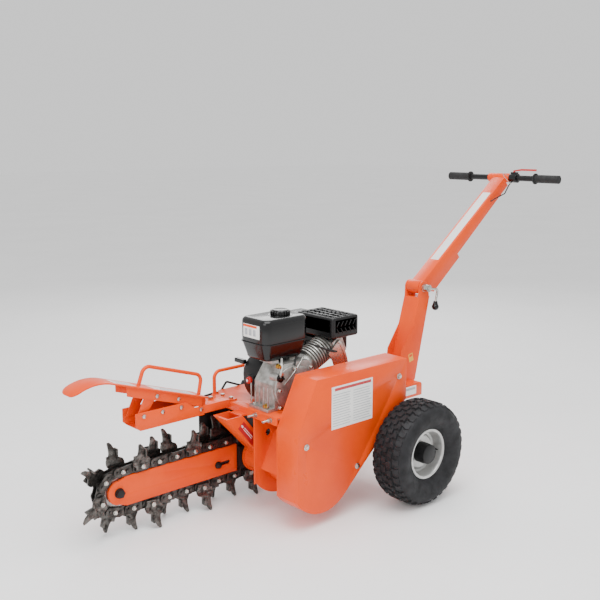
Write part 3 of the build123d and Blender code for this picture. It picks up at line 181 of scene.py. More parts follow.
# lever and switch
red_plastic = finish("moulded_red_plastic", "C8201A", "B01612", 30, 1.2, 0.012, (0.2, 0.32),
                     coat=0.4, grain_mix=0.05)
# soft moulded grips and hoses
grip_rubber = finish("grip_rubber", "1C1C1C", "121212", 20, 1.6, 0.08, (0.6, 0.78), grain_mix=0.15)
# tyres, a little dusty
tyre_rubber = finish("tyre_rubber", "1F1F22", "161618", 35, 1.8, 0.12, (0.55, 0.8),
                     grain_mix=0.2, gloss=0.35)
# drive belts
belt_rubber = finish("belt_rubber", "1E1E1E", "151515", 20, 1.5, 0.05, (0.6, 0.8), grain_mix=0.1)
# pale nylon the chain slides on
wear_strip = finish("nylon_wear_strip", "CFC8B4", "A79F8B", 20, 2.0, 0.05, (0.45, 0.6), grain_mix=0.15)
# printed film: the white base and three inks; the red one is also the painted shade film under the neck
# arrow
white_film = finish("white_label_film", "F1F1EE", "E6E6E3", 60, 2.0, 0.005, (0.25, 0.35),
                    coat=0.3, grain_mix=0.02)
grey_ink = finish("grey_label_ink", "B4B6BA", "A5A7AC", 20, 2.0, 0.002, (0.4, 0.5), grain_mix=0.05)
red_ink_and_painted_shade = finish("red_label_ink_and_painted_shade", "C0222A", "AD1B22", 20, 2.0, 0.002, (0.3, 0.4), coat=0.2, grain_mix=0.03)
yellow_film = finish("yellow_label_film", "E9B32B", "DDA51F", 20, 2.0, 0.002, (0.3, 0.4),
                     coat=0.2, grain_mix=0.03)
print("finishes:", len(made))

# %% [markdown]
# ## Every CAD piece gets its finish
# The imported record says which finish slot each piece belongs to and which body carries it.
# Giving the base finish to all of them first means no piece is ever left bare.

# %% Finishes by slot
by_slot = {
    "orange": orange, "black_metal": black_paint, "chain_steel": chain_steel, "zinc": zinc,
    "steel": steel, "cast_alloy": casting, "black_plastic": gloss_black, "red_plastic": red_plastic,
    "soft_grip": grip_rubber, "belt_rubber": belt_rubber, "tyre_rubber": tyre_rubber,
    "rim_silver": rim_paint, "wear_plastic": wear_strip,
}
slot_of = {row["node"]: row["material_slot"] for row in frame["record"]["subparts"]}
body_of = {}
for body, names in frame["record"]["behaviour"]["bodies"].items():
    for name in names:
        body_of[name] = body
for name, piece in nodes.items():
    piece.data.materials.clear()
    piece.data.materials.append(by_slot[slot_of[name]])
print("pieces with a finish:", len(nodes))

# %% [markdown]
# ## Working by hand
# Each step below is what a modeller does on screen: clear the selection, pick an object, bake
# its place into the mesh, then say what it is made of and which part carries it.

# %% Selecting, settling and dressing
def deselect():
    """Nothing selected and nothing in edit mode."""
    if bpy.context.object and bpy.context.object.mode != "OBJECT":
        bpy.ops.object.mode_set(mode="OBJECT")
    bpy.ops.object.select_all(action="DESELECT")


def choose(obj):
    """Only this object is selected and active."""
    deselect()
    obj.select_set(True)
    bpy.context.view_layer.objects.active = obj


def settle(obj):
    """The object's place goes into its mesh, so that it sits at the origin."""
    choose(obj)
    bpy.ops.object.transform_apply(location=True, rotation=True, scale=True)


def pick(obj, kind, rule):
    """Edit mode with only the vertices, edges or faces that meet the rule selected."""
    bpy.ops.object.mode_set(mode="EDIT")
    bpy.ops.mesh.select_mode(type=kind)
    bpy.ops.mesh.select_all(action="DESELECT")
    bpy.ops.object.mode_set(mode="OBJECT")
    parts = {"VERT": obj.data.vertices, "EDGE": obj.data.edges, "FACE": obj.data.polygons}[kind]
    for part in parts:
        part.select = bool(rule(part))
    bpy.ops.object.mode_set(mode="EDIT")


def dress(obj, name, mat, body, slot_name, *replaced):
    """Name, material, body and the CAD nodes this piece stands for; slot_name is not used."""
    obj.name = name
    obj.data.name = name
    if mat is not None:
        obj.data.materials.clear()
        obj.data.materials.append(mat)
    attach(obj, body)
    if replaced:
        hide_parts(*replaced)
    return obj


print("helpers ready")

# %% [markdown]
# ## Softer edges on sheet metal
# A folded or sawn edge is never razor sharp, and its small round catches the light. A copy
# of the CAD piece is merged, its flat faces are joined again, and a bevel rounds every edge
# sharper than 35 degrees. Beveling in the modifier keeps the faces flat in between.

# %% Rounded copies of the fabricated pieces
WELD_GAP = 0.00002
FLAT_ANGLE = math.radians(1.0)
SHARP_ANGLE = math.radians(35)
SMOOTH_ANGLE = math.radians(40)


def rounded(node, width_mm, segments=2):
    """A copy of a CAD node with small rounds on its sharp edges."""
    obj = nodes[node].copy()
    obj.data = nodes[node].data.copy()
    obj.parent = None
    obj.matrix_world = Matrix.Identity(4)
    bpy.context.collection.objects.link(obj)
    choose(obj)
    bpy.ops.object.mode_set(mode="EDIT")
    bpy.ops.mesh.select_all(action="SELECT")
    bpy.ops.mesh.remove_doubles(threshold=WELD_GAP)
    bpy.ops.mesh.dissolve_limited(angle_limit=FLAT_ANGLE)
    bpy.ops.object.mode_set(mode="OBJECT")
    bevel = obj.modifiers.new("edge", "BEVEL")
    bevel.width = width_mm * MM
    bevel.segments = segments
    bevel.limit_method = "ANGLE"
    bevel.angle_limit = SHARP_ANGLE
    bevel.use_clamp_overlap = True
    bpy.ops.object.modifier_apply(modifier="edge")
    bpy.ops.object.shade_smooth_by_angle(angle=SMOOTH_ANGLE)
    return dress(obj, node + "_finished", by_slot[slot_of[node]], body_of[node], slot_of[node], node)


SOFT_EDGES = {
    "deck_plate": 1.0, "side_plate": 0.8, "belt_guard": 0.8, "frame_rails": 1.5, "boom": 1.2,
    "boom_carrier": 1.2, "front_bracket": 1.2, "crumber_beam": 1.2, "crumber_cheeks": 1.0,
    "tongue_plate": 1.0, "neck_arm": 1.5, "lower_post": 2.0, "upper_arm": 1.5,
    "engine_crankcase": 1.5, "crankcase_cover": 1.5, "fan_housing": 2.0, "air_cleaner": 1.0,
    "spoil_shield": 0.8, "frame_bolts": 0.5, "boom_bolts": 0.8, "tooth_bolts": 0.8,
    "lever_housing": 1.0, "recoil_cover": 1.5,
}
for node, width in SOFT_EDGES.items():
    rounded(node, width)
print("rounded:", len(SOFT_EDGES))

# %% [markdown]
# ## Turned shapes
# Wheels, caps and knobs are bodies of revolution. A ring of edges is added as a circle and
# then extruded, moved and resized once for each step of the outline, as on a lathe. The
# first and last rings are closed with a face or merged together.

# %% A lathe made of extrusions
RING_GAP = 0.00001
TURNED_ANGLE = math.radians(38)


def turned(name, centre, outline, steps=48, closed=False, axis="Y"):
    """A ring carried through (radius, along) steps about an axis through centre, in metres."""
    deselect()
    turn = {"Y": (math.pi / 2, 0, 0), "Z": (0, 0, 0), "X": (0, math.pi / 2, 0)}[axis]
    unit = {"Y": Vector((0, 1, 0)), "Z": Vector((0, 0, 1)), "X": Vector((1, 0, 0))}[axis]
    centre = Vector(centre)
    radius, along = outline[0]
    spot = centre + unit * along
    bpy.ops.mesh.primitive_circle_add(vertices=steps, radius=radius, fill_type="NOTHING",
                                      location=spot, rotation=turn)
    obj = bpy.context.object
    bpy.ops.object.mode_set(mode="EDIT")
    bpy.ops.mesh.select_mode(type="EDGE")
    bpy.ops.mesh.select_all(action="SELECT")
    for next_radius, next_along in outline[1:]:
        bpy.ops.mesh.extrude_region_move(TRANSFORM_OT_translate={"value": unit * (next_along - along)})
        k = next_radius / radius
        size = {"Y": (k, 1, k), "Z": (k, k, 1), "X": (1, k, k)}[axis]
        bpy.ops.transform.resize(value=size, center_override=centre + unit * next_along)
        radius, along = next_radius, next_along
    if closed:
        bpy.ops.mesh.select_all(action="SELECT")
        bpy.ops.mesh.remove_doubles(threshold=RING_GAP)
    else:
        bpy.ops.mesh.select_all(action="DESELECT")
        bpy.ops.mesh.select_non_manifold()
        bpy.ops.mesh.edge_face_add()
    bpy.ops.mesh.select_all(action="SELECT")
    bpy.ops.mesh.normals_make_consistent(inside=False)
    bpy.ops.object.mode_set(mode="OBJECT")
    settle(obj)
    bpy.ops.object.shade_smooth_by_angle(angle=TURNED_ANGLE)
    obj.name = name
    return obj


def copies(obj, matrices):
    """The object copied once per matrix, joined into one mesh. The first object is used up."""
    parts = []
    for matrix in matrices:
        twin = obj.copy()
        twin.data = obj.data.copy()
        twin.data.transform(matrix)
        bpy.context.collection.objects.link(twin)
        parts.append(twin)
    bpy.data.objects.remove(obj, do_unlink=True)
    return join(parts)


def join(parts):
    """Several objects made one."""
    deselect()
    for part in parts:
        part.select_set(True)
    bpy.context.view_layer.objects.active = parts[0]
    bpy.ops.object.join()
    return bpy.context.object


print("lathe ready")

# %% [markdown]
# ## Block
# Many small pieces start from a box with rounded edges. The box is placed and sized as a
# primitive, and a bevel rounds its edges, because real pieces are cast, sawn or moulded.

# %% A rounded block
def block(lo, hi, round_mm, segments=2):
    """A box between two corners, in metres, with rounded edges."""
    lo, hi = Vector(lo), Vector(hi)
    deselect()
    bpy.ops.mesh.primitive_cube_add(size=1, location=(lo + hi) / 2)
    obj = bpy.context.object
    obj.scale = hi - lo
    settle(obj)
    bpy.ops.object.mode_set(mode="EDIT")
    bpy.ops.mesh.select_all(action="SELECT")
    bpy.ops.mesh.bevel(offset=round_mm * MM, segments=segments, affect="EDGES")
    bpy.ops.object.mode_set(mode="OBJECT")
    bpy.ops.object.shade_smooth_by_angle(angle=SMOOTH_ANGLE)
    return obj


print("block ready")

# %% [markdown]
# ## Tyres
# A turf tyre has a round-shouldered carcass with a bulging side wall, and low blocks that
# grip without tearing grass. The carcass is turned from one outline. One block is a bent
# bar, modelled once and copied round in five staggered rows.

# %% Carcass and tread
tyre_lo, tyre_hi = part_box("near_tyre")
TYRE_R = (tyre_hi.z - tyre_lo.z) / 2
AXLE = Vector(((tyre_lo.x + tyre_hi.x) / 2, 0, TYRE_R))
BLOCK_H = 7 * MM
BLOCK_FOOT = 0.8 * MM
ROW_GAP = 23.5 * MM
SHOULDER_DROP = 6.0 * MM
SHOULDER_LEAN = math.radians(24)
SHELL_R = TYRE_R - BLOCK_H
# (radius, half width) in mm from the bead over the side wall to the crown
HALF_OUTLINE = [(82, 40), (90, 42), (94, 46), (100, 55), (112, 64), (124, 69.5), (134, 72),
                (145, 72.6), (156, 70.5), (165, 66), (172, 59), (177, 49), (179.5, 36), (181, 18)]
BEAD_OUTLINE = [(82, 31), (82, -31), (82, -40)]


def tread_block(width, length, skew):
    """One bar of the tread, bent in the middle."""
    deselect()
    bpy.ops.mesh.primitive_cube_add(size=1)
    obj = bpy.context.object
    obj.scale = (length, width, BLOCK_H * 1.7)
    settle(obj)
    bpy.ops.object.mode_set(mode="EDIT")
    bpy.ops.mesh.select_all(action="SELECT")
    bpy.ops.mesh.subdivide(number_cuts=1)
    # the middle moves along the tread, then the top is drawn in
    pick(obj, "VERT", lambda vert: abs(vert.co.y) < 1e-6)
    bpy.ops.transform.translate(value=(skew, 0, 0))
    pick(obj, "VERT", lambda vert: vert.co.z > BLOCK_H * 0.5)
    bpy.ops.transform.resize(value=(0.8, 0.86, 1), center_override=(skew / 2, 0, 0))
    bpy.ops.object.mode_set(mode="OBJECT")
    return obj


def tyre(node, body, rows=5, count=34):
    """One tyre with its tread."""
    lo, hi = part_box(node)
    centre = Vector((AXLE.x, (lo.y + hi.y) / 2, TYRE_R))
    outline = mm(HALF_OUTLINE, -1) + list(reversed(mm(HALF_OUTLINE))) + mm(BEAD_OUTLINE)
    parts = [turned(node + "_shell", centre, outline, 96, closed=True)]
    pitch = 2 * math.pi / count
    for row in range(rows):
        from_middle = row - (rows - 1) / 2
        across = from_middle * ROW_GAP
        shoulder = abs(from_middle) > 1.5
        crown = abs(from_middle) < 0.5
        skew = (5 if row % 2 else -5) * MM
        bar = tread_block((24 if shoulder else 20) * MM, (19 if crown else 21) * MM, skew)
        fall = SHOULDER_DROP if shoulder else BLOCK_FOOT
        tilt = SHOULDER_LEAN * (1 if across > 0 else -1) if shoulder else 0
        places = []
        for k in range(count):
            turn = Matrix.Rotation((k + 0.5 * (row % 2)) * pitch, 4, "Y")
            lift = Matrix.Translation((0, across, SHELL_R - fall + BLOCK_FOOT))
            lean = Matrix.Rotation(-tilt, 4, "X")
            places.append(Matrix.Translation(centre) @ turn @ lift @ lean)
        parts.append(copies(bar, places))
    whole = join(parts)
    return dress(whole, node + "_turf", tyre_rubber, body, "tyre_rubber", node)


tyre("near_tyre", "near_wheel")
tyre("far_tyre", "far_wheel")
print("tyres: radius", TYRE_R)

# %% [markdown]
# ## Rims
# The wheel is pressed from sheet: a deep well holds the beads and a coned disc carries the
# hub. Rolling one outline gives the rounded flange that catches the light.

# %% Pressed rims and valve
# (radius, across) in mm, from the outer flange through the well and back along the disc
RIM_OUTLINE = [(90, 46), (91, 44.5), (90, 43.5), (84, 43), (81.8, 40), (81.8, 28), (77, 20), (77, -20),
               (81.8, -28), (81.8, -40), (84, -43), (90, -43.5), (91, -44.5), (90, -46), (82, -45.5),
               (79, -41), (79, -29), (74, -20), (74, 8), (66, 6), (58, 12), (50, 10), (37.2, 10),
               (37.2, 7), (50, 7), (58, 9), (66, 3), (74, 4), (74, 19), (79, 28), (79, 41),
               (82, 45.5), (90, 46)]
STEM_OUTLINE = [(3, 8), (4, 12), (4, 30), (3, 31), (3, 38), (2, 40)]
HUB_OUTLINE = [(12.6, -48), (30, -48), (33, -46), (33, -8), (37, -4), (37, 36), (35, 40), (35, 52),
               (32, 54), (5, 54)]
STEM_R = 60 * MM
WHEEL_Y = 390


def rim(node, body, side):
    """One pressed rim, open side outwards."""
    lo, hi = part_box(node)
    centre = Vector((AXLE.x, (lo.y + hi.y) / 2, TYRE_R))
    obj = turned(node + "_pressed", centre, mm(RIM_OUTLINE, side), 72, closed=True)
    return dress(obj, node + "_pressed", rim_paint, body, "rim_silver", node)


rim("near_rim", "near_wheel", -1)
rim("far_rim", "far_wheel", 1)
for side, body, node in ((-1, "near_wheel", "near_hub"), (1, "far_wheel", "far_hub")):
    wheel_y = side * WHEEL_Y * MM
    stem = turned("stem", (AXLE.x + STEM_R, wheel_y, TYRE_R), mm(STEM_OUTLINE, side), 16)
    dress(stem, body + "_valve_stem", grip_rubber, body, "soft_grip")
    hub = turned("hub", (AXLE.x, wheel_y, TYRE_R), mm(HUB_OUTLINE, side), 48)
    dress(hub, body + "_hub_barrel", black_paint, body, "black_metal", node)
print("rims and hubs made")

# %% [markdown]
# ## Labels
# Labels are printed film a quarter of a millimetre thick. Each is a thin plate with its print laid on as
# bars, because lettering is left off. The bars only suggest lines of text.

# %% Labels as film with printed bars
FILM = 0.25 * MM
SUNK = 0.1 * MM
PRINT_STEP = 0.05 * MM


def label(name, origin, right, up, size, bars, body, film=white_film):
    """A film of size (w, h) mm at origin, with bars of (x0, y0, x1, y1, material) in mm."""
    right, up = Vector(right).normalized(), Vector(up).normalized()
    out = right.cross(up)
    frame_m = Matrix((right, up, out)).transposed().to_4x4()
    frame_m.translation = Vector(origin)
    parts = []
    base = (0, 0, size[0], size[1], film)
    for layer, (x0, y0, x1, y1, mat) in [(0, base)] + [(1, bar) for bar in bars]:
        lo = Vector((x0 * MM, y0 * MM, layer * FILM - SUNK))
        hi = Vector((x1 * MM, y1 * MM, (layer + 1) * FILM - (PRINT_STEP if layer else 0)))
        plate = block(lo, hi, 0.04, 1)
        plate.data.materials.append(mat)
        plate.data.transform(frame_m)
        parts.append(plate)
    obj = join(parts)
    return dress(obj, name, None, body, "wear_plastic" if film is white_film else "orange")


print("labels are", FILM, "m thick")

# %% [markdown]
# ## Where the labels go
# Label places are measured from the axle, because every part of the frame was set out from it.
# The sloping ones follow the arm at 37 degrees and the tongue at 18 degrees. The neck label's red film is
# painted shade on the orange neck, and its white arrow and bars are the real decal.

# %% Labels on the guard, arm, neck and tongue
SHIFT = AXLE.x
X, Y, Z = Vector((1, 0, 0)), Vector((0, 1, 0)), Vector((0, 0, 1))
LINE_GAP = 9
LINE_HEIGHT = 2.6
guard_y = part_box("belt_guard")[0].y
bars = [(14, 132, 190, 142, red_ink_and_painted_shade)]
for column in (6, 103):
    for line in range(13):
        low = 10 + line * LINE_GAP
        end = column + (78 + 12 * random.random())
        bars.append((column, low, end, low + LINE_HEIGHT, grey_ink))
label("guard_instructions", (SHIFT - 0.361, guard_y, 0.328), X, Z, (198, 148), bars, "chassis")

arm = math.radians(37)
along = Vector((math.cos(arm), 0, math.sin(arm)))
top = Vector((-math.sin(arm), 0, math.cos(arm)))
pivot = Vector((SHIFT + 0.433, 0, 0.687))
strip = pivot + along * 0.150 + top * 0.016 + Vector((0, -0.020, 0))
label("arm_strip", strip, along, Y, (440, 40), [], "handle")

neck_down = Vector((0.121, 0, -0.147)).normalized()
neck_up = Vector((0.147, 0, 0.121)).normalized()
neck_at = Vector((SHIFT - 0.543, -0.060, 0.327))
arrow = [(6, 14, 14, 20, white_film), (2, 15.5, 8, 18.5, white_film),
         (20, 13, 74, 15, white_film), (20, 19, 74, 21, white_film)]
# the red film is painted shade on the orange neck; only the white arrow and bars are the real decal
label("neck_arrow_on_painted_shade", neck_at - neck_up * 0.02, neck_down, neck_up, (96, 32), arrow, "chassis", red_ink_and_painted_shade)
label("post_tag", (SHIFT + 0.352, -0.040, 0.385), (1, 0, 0.25), (-0.25, 0, 1), (26, 34),
      [(4, 20, 22, 30, orange)], "chassis", yellow_film)
label("rear_tag", (SHIFT + 0.268, -0.079, 0.262), X, Z, (84, 36),
      [(6, 20, 78, 30, grey_ink)], "chassis")

slope = math.radians(18)
run = Vector((-math.cos(slope), 0, math.sin(slope)))
heel = Vector((SHIFT - 0.609, 0.083, 0.415))
edge = Vector((0, 0.028, 0))
label("tongue_rear_label", heel + run * 0.045 + edge, run, -Y, (170, 56),
      [(8, 10 + LINE_GAP * k, 120 + 5 * k, 13 + LINE_GAP * k, grey_ink) for k in range(5)], "chassis")
label("tongue_front_label", heel + run * 0.285 + edge, run, -Y, (84, 56),
      [(8, 10 + LINE_GAP * k, 70, 13 + LINE_GAP * k, grey_ink) for k in range(5)], "chassis")
print("labels made")

# %% [markdown]
# ## Digging teeth
# Each tooth is a bent strap of forged steel that ends in a claw. A short block is extruded
# segment by segment, and each new face is smaller and nearer to the tip. Three shapes lean
# near, far and to the middle, and repeat along the chain.

# %% One tooth
# chain sizes in mm: link pitch, links round each end and along each span
PITCH = 34.925
WRAP = 6
SPAN = 16
PITCH_R = PITCH / (2 * math.sin(math.pi / (2 * WRAP)))
DRIVE_X = -395.0
NOSE_X = DRIVE_X - SPAN * PITCH
AXIS_Z = 156.0
DIG_Y = 83.0
TOOTH_H = AXIS_Z - PITCH_R
STRAP_Y = 22.3
# height, middle, length, change of thickness, share of the bend
TOOTH_STEPS = [(10, -2, 64, 1.0, 0.0), (20, -4, 66, 1.0, 0.02), (30, -5, 62, 1.05, 0.2),
               (37, -9, 42, 1.1, 0.34), (46, -8, 28, 1.1, 0.5), (58, -9, 22, 1.1, 0.68),
               (70, -11, 18, 1.15, 0.84), (80, -14, 15, 1.0, 0.95), (TOOTH_H - 0.5, -18, 8, 0.4, 1.0)]


def carry(shift, size, centre):
    """The chosen face drawn out by shift and resized about centre, all in millimetres."""
    bpy.ops.mesh.extrude_region_move(TRANSFORM_OT_translate={"value": [v * MM for v in shift]})
    bpy.ops.transform.resize(value=size, center_override=[v * MM for v in centre])


def cup_tooth(side, tip):
    """A wide foot bolted to the link and a cutter that bends from side to tip, outwards along Z."""
    start = side * STRAP_Y
    obj = block((-24 * MM, (start - 4) * MM, -10 * MM), (24 * MM, (start + 4) * MM, 4 * MM), 0.01, 1)
    choose(obj)
    bpy.ops.object.mode_set(mode="EDIT")
    bpy.ops.mesh.select_mode(type="FACE")
    bpy.ops.mesh.remove_doubles(threshold=0.0001)
    pick(obj, "FACE", lambda face: face.normal.z > 0.9)
    old = (4.0, 0.0, 48.0, 1.0, start)
    for height, middle, length, thick, part in TOOTH_STEPS:
        y = start + (tip - start) * part
        step = (middle - old[1], y - old[4], height - old[0])
        carry(step, (length / old[2], thick / old[3], 1), (middle, y, height))
        old = (height, middle, length, thick, y)

    def outer_side(face):
        low = 10 * MM < face.center.z < 32 * MM
        return low and abs(face.normal.y) > 0.6 and face.normal.y * side > 0

    # the hollow pressed into the outer side of the strap
    pick(obj, "FACE", outer_side)
    bpy.ops.mesh.inset(thickness=5 * MM, depth=-2.2 * MM)
    bpy.ops.mesh.select_all(action="SELECT")
    bpy.ops.mesh.bevel(offset=1.3 * MM, segments=2, affect="EDGES")
    bpy.ops.object.mode_set(mode="OBJECT")
    bpy.ops.object.shade_smooth_by_angle(angle=math.radians(45))
    blade_y = start + (tip - start) * 0.55
    blade = block((2 * MM, (blade_y - 11) * MM, 38 * MM), (9 * MM, (blade_y + 11) * MM, 66 * MM), 2.0)
    ear_y = start + side * 5
    ear = block((-34 * MM, (ear_y - 3) * MM, 22 * MM), (-12 * MM, (ear_y + 3) * MM, 46 * MM), 2.2)
    return join([obj, blade, ear])


print("tooth height:", TOOTH_H, "mm")

# %% [markdown]
# ## The chain they ride on
# The links run round two equal wheels. A tooth sits on every second link, turned to the
# direction the chain has there, and the three shapes take turns. A bolt head shows on the
# side of the link away from the strap.

# %% Teeth on every second link
def pins():
    """Chain pins in the order the chain runs."""
    points = [(DRIVE_X - k * PITCH, AXIS_Z + PITCH_R) for k in range(SPAN)]
    for k in range(WRAP):
        a = math.pi / 2 + math.pi * k / WRAP
        points.append((NOSE_X + PITCH_R * math.cos(a), AXIS_Z + PITCH_R * math.sin(a)))
    points += [(NOSE_X + k * PITCH, AXIS_Z - PITCH_R) for k in range(SPAN)]
    for k in range(WRAP):
        a = -math.pi / 2 + math.pi * k / WRAP
        points.append((DRIVE_X + PITCH_R * math.cos(a), AXIS_Z + PITCH_R * math.sin(a)))
    return points


points = pins()
# (side of the strap, across position of the tip in mm)
kinds = [(-1, -41.0), (1, 41.0), (1, 0.0)]
HEAD_Y = 18.2
HEAD_OUTLINE = [(7.6, 0), (7.6, 3), (6.2, 3.4), (6.0, 7.2), (4.8, 8.4)]
groups = {0: [], 1: [], 2: []}
for k in range(1, len(points), 2):
    x0, z0 = points[k]
    x1, z1 = points[(k + 1) % len(points)]
    turn = math.atan2(z1 - z0, x1 - x0) - math.pi
    mid = Matrix.Translation(((x0 + x1) / 2 * MM + SHIFT, DIG_Y * MM, (z0 + z1) / 2 * MM))
    groups[(k // 2) % 3].append(mid @ Matrix.Rotation(-turn, 4, "Y"))
teeth = join([copies(cup_tooth(*kinds[k]), groups[k]) for k in range(3)])
dress(teeth, "cup_teeth", tooth_steel, "chassis", "chain_steel", "digging_teeth")
heads = []
for side in (-1, 1):
    head = turned("head", (0, side * HEAD_Y * MM, 0), mm(HEAD_OUTLINE, side), 12)
    # on the side away from the strap, where the plate is bare
    bare = [place for kind in groups for place in groups[kind] if side * (1 if kind else -1) < 0]
    heads.append(copies(head, bare))
dress(join(heads), "chain_bolt_heads", zinc, "chassis", "zinc")
print("teeth on", sum(len(g) for g in groups.values()), "links")

# %% [markdown]
# ## Fuel tank
# The tank is two pressed halves rolled together at a seam. Its corners are large, because
# sheet drawn into a die needs a generous radius. The bottom is drawn in towards the bracket.

# %% A case with rounded corners
LEVEL = 1e-6
NEAR = 1e-5
BELOW = 1e-4


def rounded_case(name, lo, hi, corner_mm, edge_mm, narrow=1.0, low_share=0.4):
    """A box with large upright corners, rounded top and bottom and a narrower foot."""
    lo, hi = Vector(lo) * MM, Vector(hi) * MM
    deselect()
    bpy.ops.mesh.primitive_cube_add(size=1, location=(lo + hi) / 2)
    obj = bpy.context.object
    obj.scale = hi - lo
    settle(obj)

    def ends(edge):
        return [obj.data.vertices[k].co.z for k in edge.vertices]

    def upright(edge):
        return not abs(ends(edge)[0] - ends(edge)[1]) < LEVEL

    def top_or_bottom(edge):
        first, second = ends(edge)
        return abs(first - second) < LEVEL and (abs(first - hi.z) < NEAR or abs(first - lo.z) < NEAR)

    for rule, width, segments in ((upright, corner_mm, 6), (top_or_bottom, edge_mm, 4)):
        pick(obj, "EDGE", rule)
        bpy.ops.mesh.bevel(offset=width * MM, segments=segments, affect="EDGES")
    bpy.ops.mesh.select_all(action="SELECT")
    cut = lo.z + (hi.z - lo.z) * low_share
    bpy.ops.mesh.bisect(plane_co=(0, 0, cut), plane_no=(0, 0, 1))
    middle = (lo + hi) / 2
    pick(obj, "VERT", lambda point: point.co.z < cut - BELOW)
    bpy.ops.transform.resize(value=(narrow, narrow, 1), center_override=(middle.x, middle.y, cut))
    bpy.ops.mesh.select_all(action="SELECT")
    bpy.ops.mesh.normals_make_consistent(inside=False)
    bpy.ops.object.mode_set(mode="OBJECT")
    bpy.ops.object.shade_smooth_by_angle(angle=SMOOTH_ANGLE)
    obj.name = name
    return obj


def corners(node, grow=0.0):
    """The low and high corners of a CAD node in millimetres, moved out by grow."""
    lo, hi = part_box(node)
    return [v / MM - grow for v in lo], [v / MM + grow for v in hi]


print("case ready")

# %% [markdown]
# ## Pressing, seam, cap and notice
# The seam stands out 3 mm all round, 42 percent of the way up. The cap is turned and then
# gets 18 ribs for wet fingers, each a small block copied round the cap's own axis.

# %% Tank, seam and cap
SEAM_SHARE = 0.42
SEAM_OUT = 3
CAP_RIBS = 18
tank_lo, tank_hi = corners("fuel_tank")
tank_hi[2] -= 5
shell = rounded_case("tank", tank_lo, tank_hi, 30, 16, 0.86, SEAM_SHARE)
seam_z = tank_lo[2] + (tank_hi[2] - tank_lo[2]) * SEAM_SHARE
seam_lo = (tank_lo[0] - SEAM_OUT, tank_lo[1] - SEAM_OUT, seam_z - 2)
seam_hi = (tank_hi[0] + SEAM_OUT, tank_hi[1] + SEAM_OUT, seam_z + 2)
seam = rounded_case("seam", seam_lo, seam_hi, 32, 1.2)
cap_lo, cap_hi = corners("fuel_cap")
cap_x, cap_y = (cap_lo[0] + cap_hi[0]) / 2, (cap_lo[1] + cap_hi[1]) / 2
cap_at = (cap_x * MM, cap_y * MM, 0)
top_z, low_z, high_z = tank_hi[2], cap_lo[2], cap_hi[2]
collar_outline = [(44, top_z - 3), (43, top_z + 1), (36, top_z + 2), (28, top_z - 1)]
collar = turned("collar", cap_at, mm(collar_outline), 40, axis="Z")
dress(join([shell, seam, collar]), "tank_pressing", gloss_black, "chassis", "black_plastic", "fuel_tank")

cap_outline = [(29, low_z + 1), (31, low_z + 3), (31, high_z - 6), (29, high_z - 2), (25, high_z),
               (4, high_z - 1)]
cap = turned("cap", cap_at, mm(cap_outline), 40, axis="Z")
rib = block((29 * MM, -2.4 * MM, (low_z + 3) * MM), (35 * MM, 2.4 * MM, (high_z - 4) * MM), 1.2)
cap_axis = Matrix.Translation(cap_at)
ribs = copies(rib, [cap_axis @ Matrix.Rotation(k * math.pi / 9, 4, "Z") for k in range(CAP_RIBS)])
dress(join([cap, ribs]), "ribbed_cap", gloss_black, "filler_cap", "black_plastic", "fuel_cap")

stripe = [(0, 36, 72, 44, orange)] + [(8 + 22 * k, 8, 22 + 22 * k, 30, grey_ink) for k in range(3)]
notice_at = (tank_lo[0] * MM, (tank_lo[1] + 118) * MM, (seam_z + 18) * MM)
label("tank_notice", notice_at, -Y, Z, (86, 46), stripe, "chassis")
print("tank seam at", seam_z, "mm")

# %% [markdown]
# ## Muffler guard
# The guard keeps hands off the hot muffler. It is pressed sheet with rounded corners, rows of
# long slots on top for the heat, and louvres at the side. The inside is as black as the
# sheet, so a slot is drawn as a low rounded bar that stands a millimetre proud.

# %% Guard with slots and louvres
HOOD_H = 76
SLOT = (28, 9)
SLOT_STEP = (35, 24)
SLOT_ROWS, SLOT_COLUMNS = 7, 3
VANE_STEP = 20
VANE_ROWS, VANES, FRONT_VANES = 2, 8, 5
VANE_LEAN = 35
guard_lo, guard_hi = corners("muffler_guard")
guard_lo[2] = guard_hi[2] - HOOD_H
hood = rounded_case("hood", guard_lo, guard_hi, 14, 9, 0.97, 0.3)
slots = []
for row in range(SLOT_ROWS):
    for column in range(SLOT_COLUMNS):
        x0 = guard_lo[0] + 16 + column * SLOT_STEP[0]
        y0 = guard_lo[1] + 16 + row * SLOT_STEP[1]
        lo = (x0 * MM, y0 * MM, (guard_hi[2] - 1) * MM)
        hi = ((x0 + SLOT[0]) * MM, (y0 + SLOT[1]) * MM, (guard_hi[2] + 1.2) * MM)
        slots.append(block(lo, hi, 1.0))
louvre = block((0, -1.6 * MM, -11 * MM), (2.4 * MM, 1.6 * MM, 11 * MM), 0.8)
quarter_turn = Matrix.Rotation(-math.pi / 2, 4, "Z")
places = []
for row in range(VANE_ROWS):
    level = guard_hi[2] - 24 - row * 24
    lean = Matrix.Rotation(math.radians(VANE_LEAN if row else -VANE_LEAN), 4, "X")
    for column in range(VANES):
        spot = (guard_hi[0] - 0.6, guard_lo[1] + 24 + column * VANE_STEP, level)
        places.append(Matrix.Translation([v * MM for v in spot]) @ lean)
        if column < FRONT_VANES:
            near = (guard_lo[0] + 26 + column * VANE_STEP, guard_lo[1] + 0.6, level)
            places.append(Matrix.Translation([v * MM for v in near]) @ quarter_turn @ lean)
vanes = copies(louvre, places)
rounded("muffler_guard", 1.2)
dress(join([hood] + slots + [vanes]), "guard_hood", black_paint, "chassis", "black_metal")
print("slots and vanes:", len(slots), len(places))

# %% [markdown]
# ## Engine fittings
# The crankcase is a die casting: ribs stiffen it, and flanged bolts close its side cover.
# Brass fittings, a plug lead and a governor arm give the busy look of a real small engine.

# %% Bolts, ribs and brass plugs
BOLT = 10
BOLT_HEAD = 7
CASE_RIBS = 5
RIB_STEP = 22
SIDE_PLUG_OUTLINE = [(9, 0), (9, -6), (7, -7), (7, -14), (5, -15)]
FRONT_PLUG_OUTLINE = [(9, 0), (9, -7), (7, -8), (7, -16), (4, -17)]


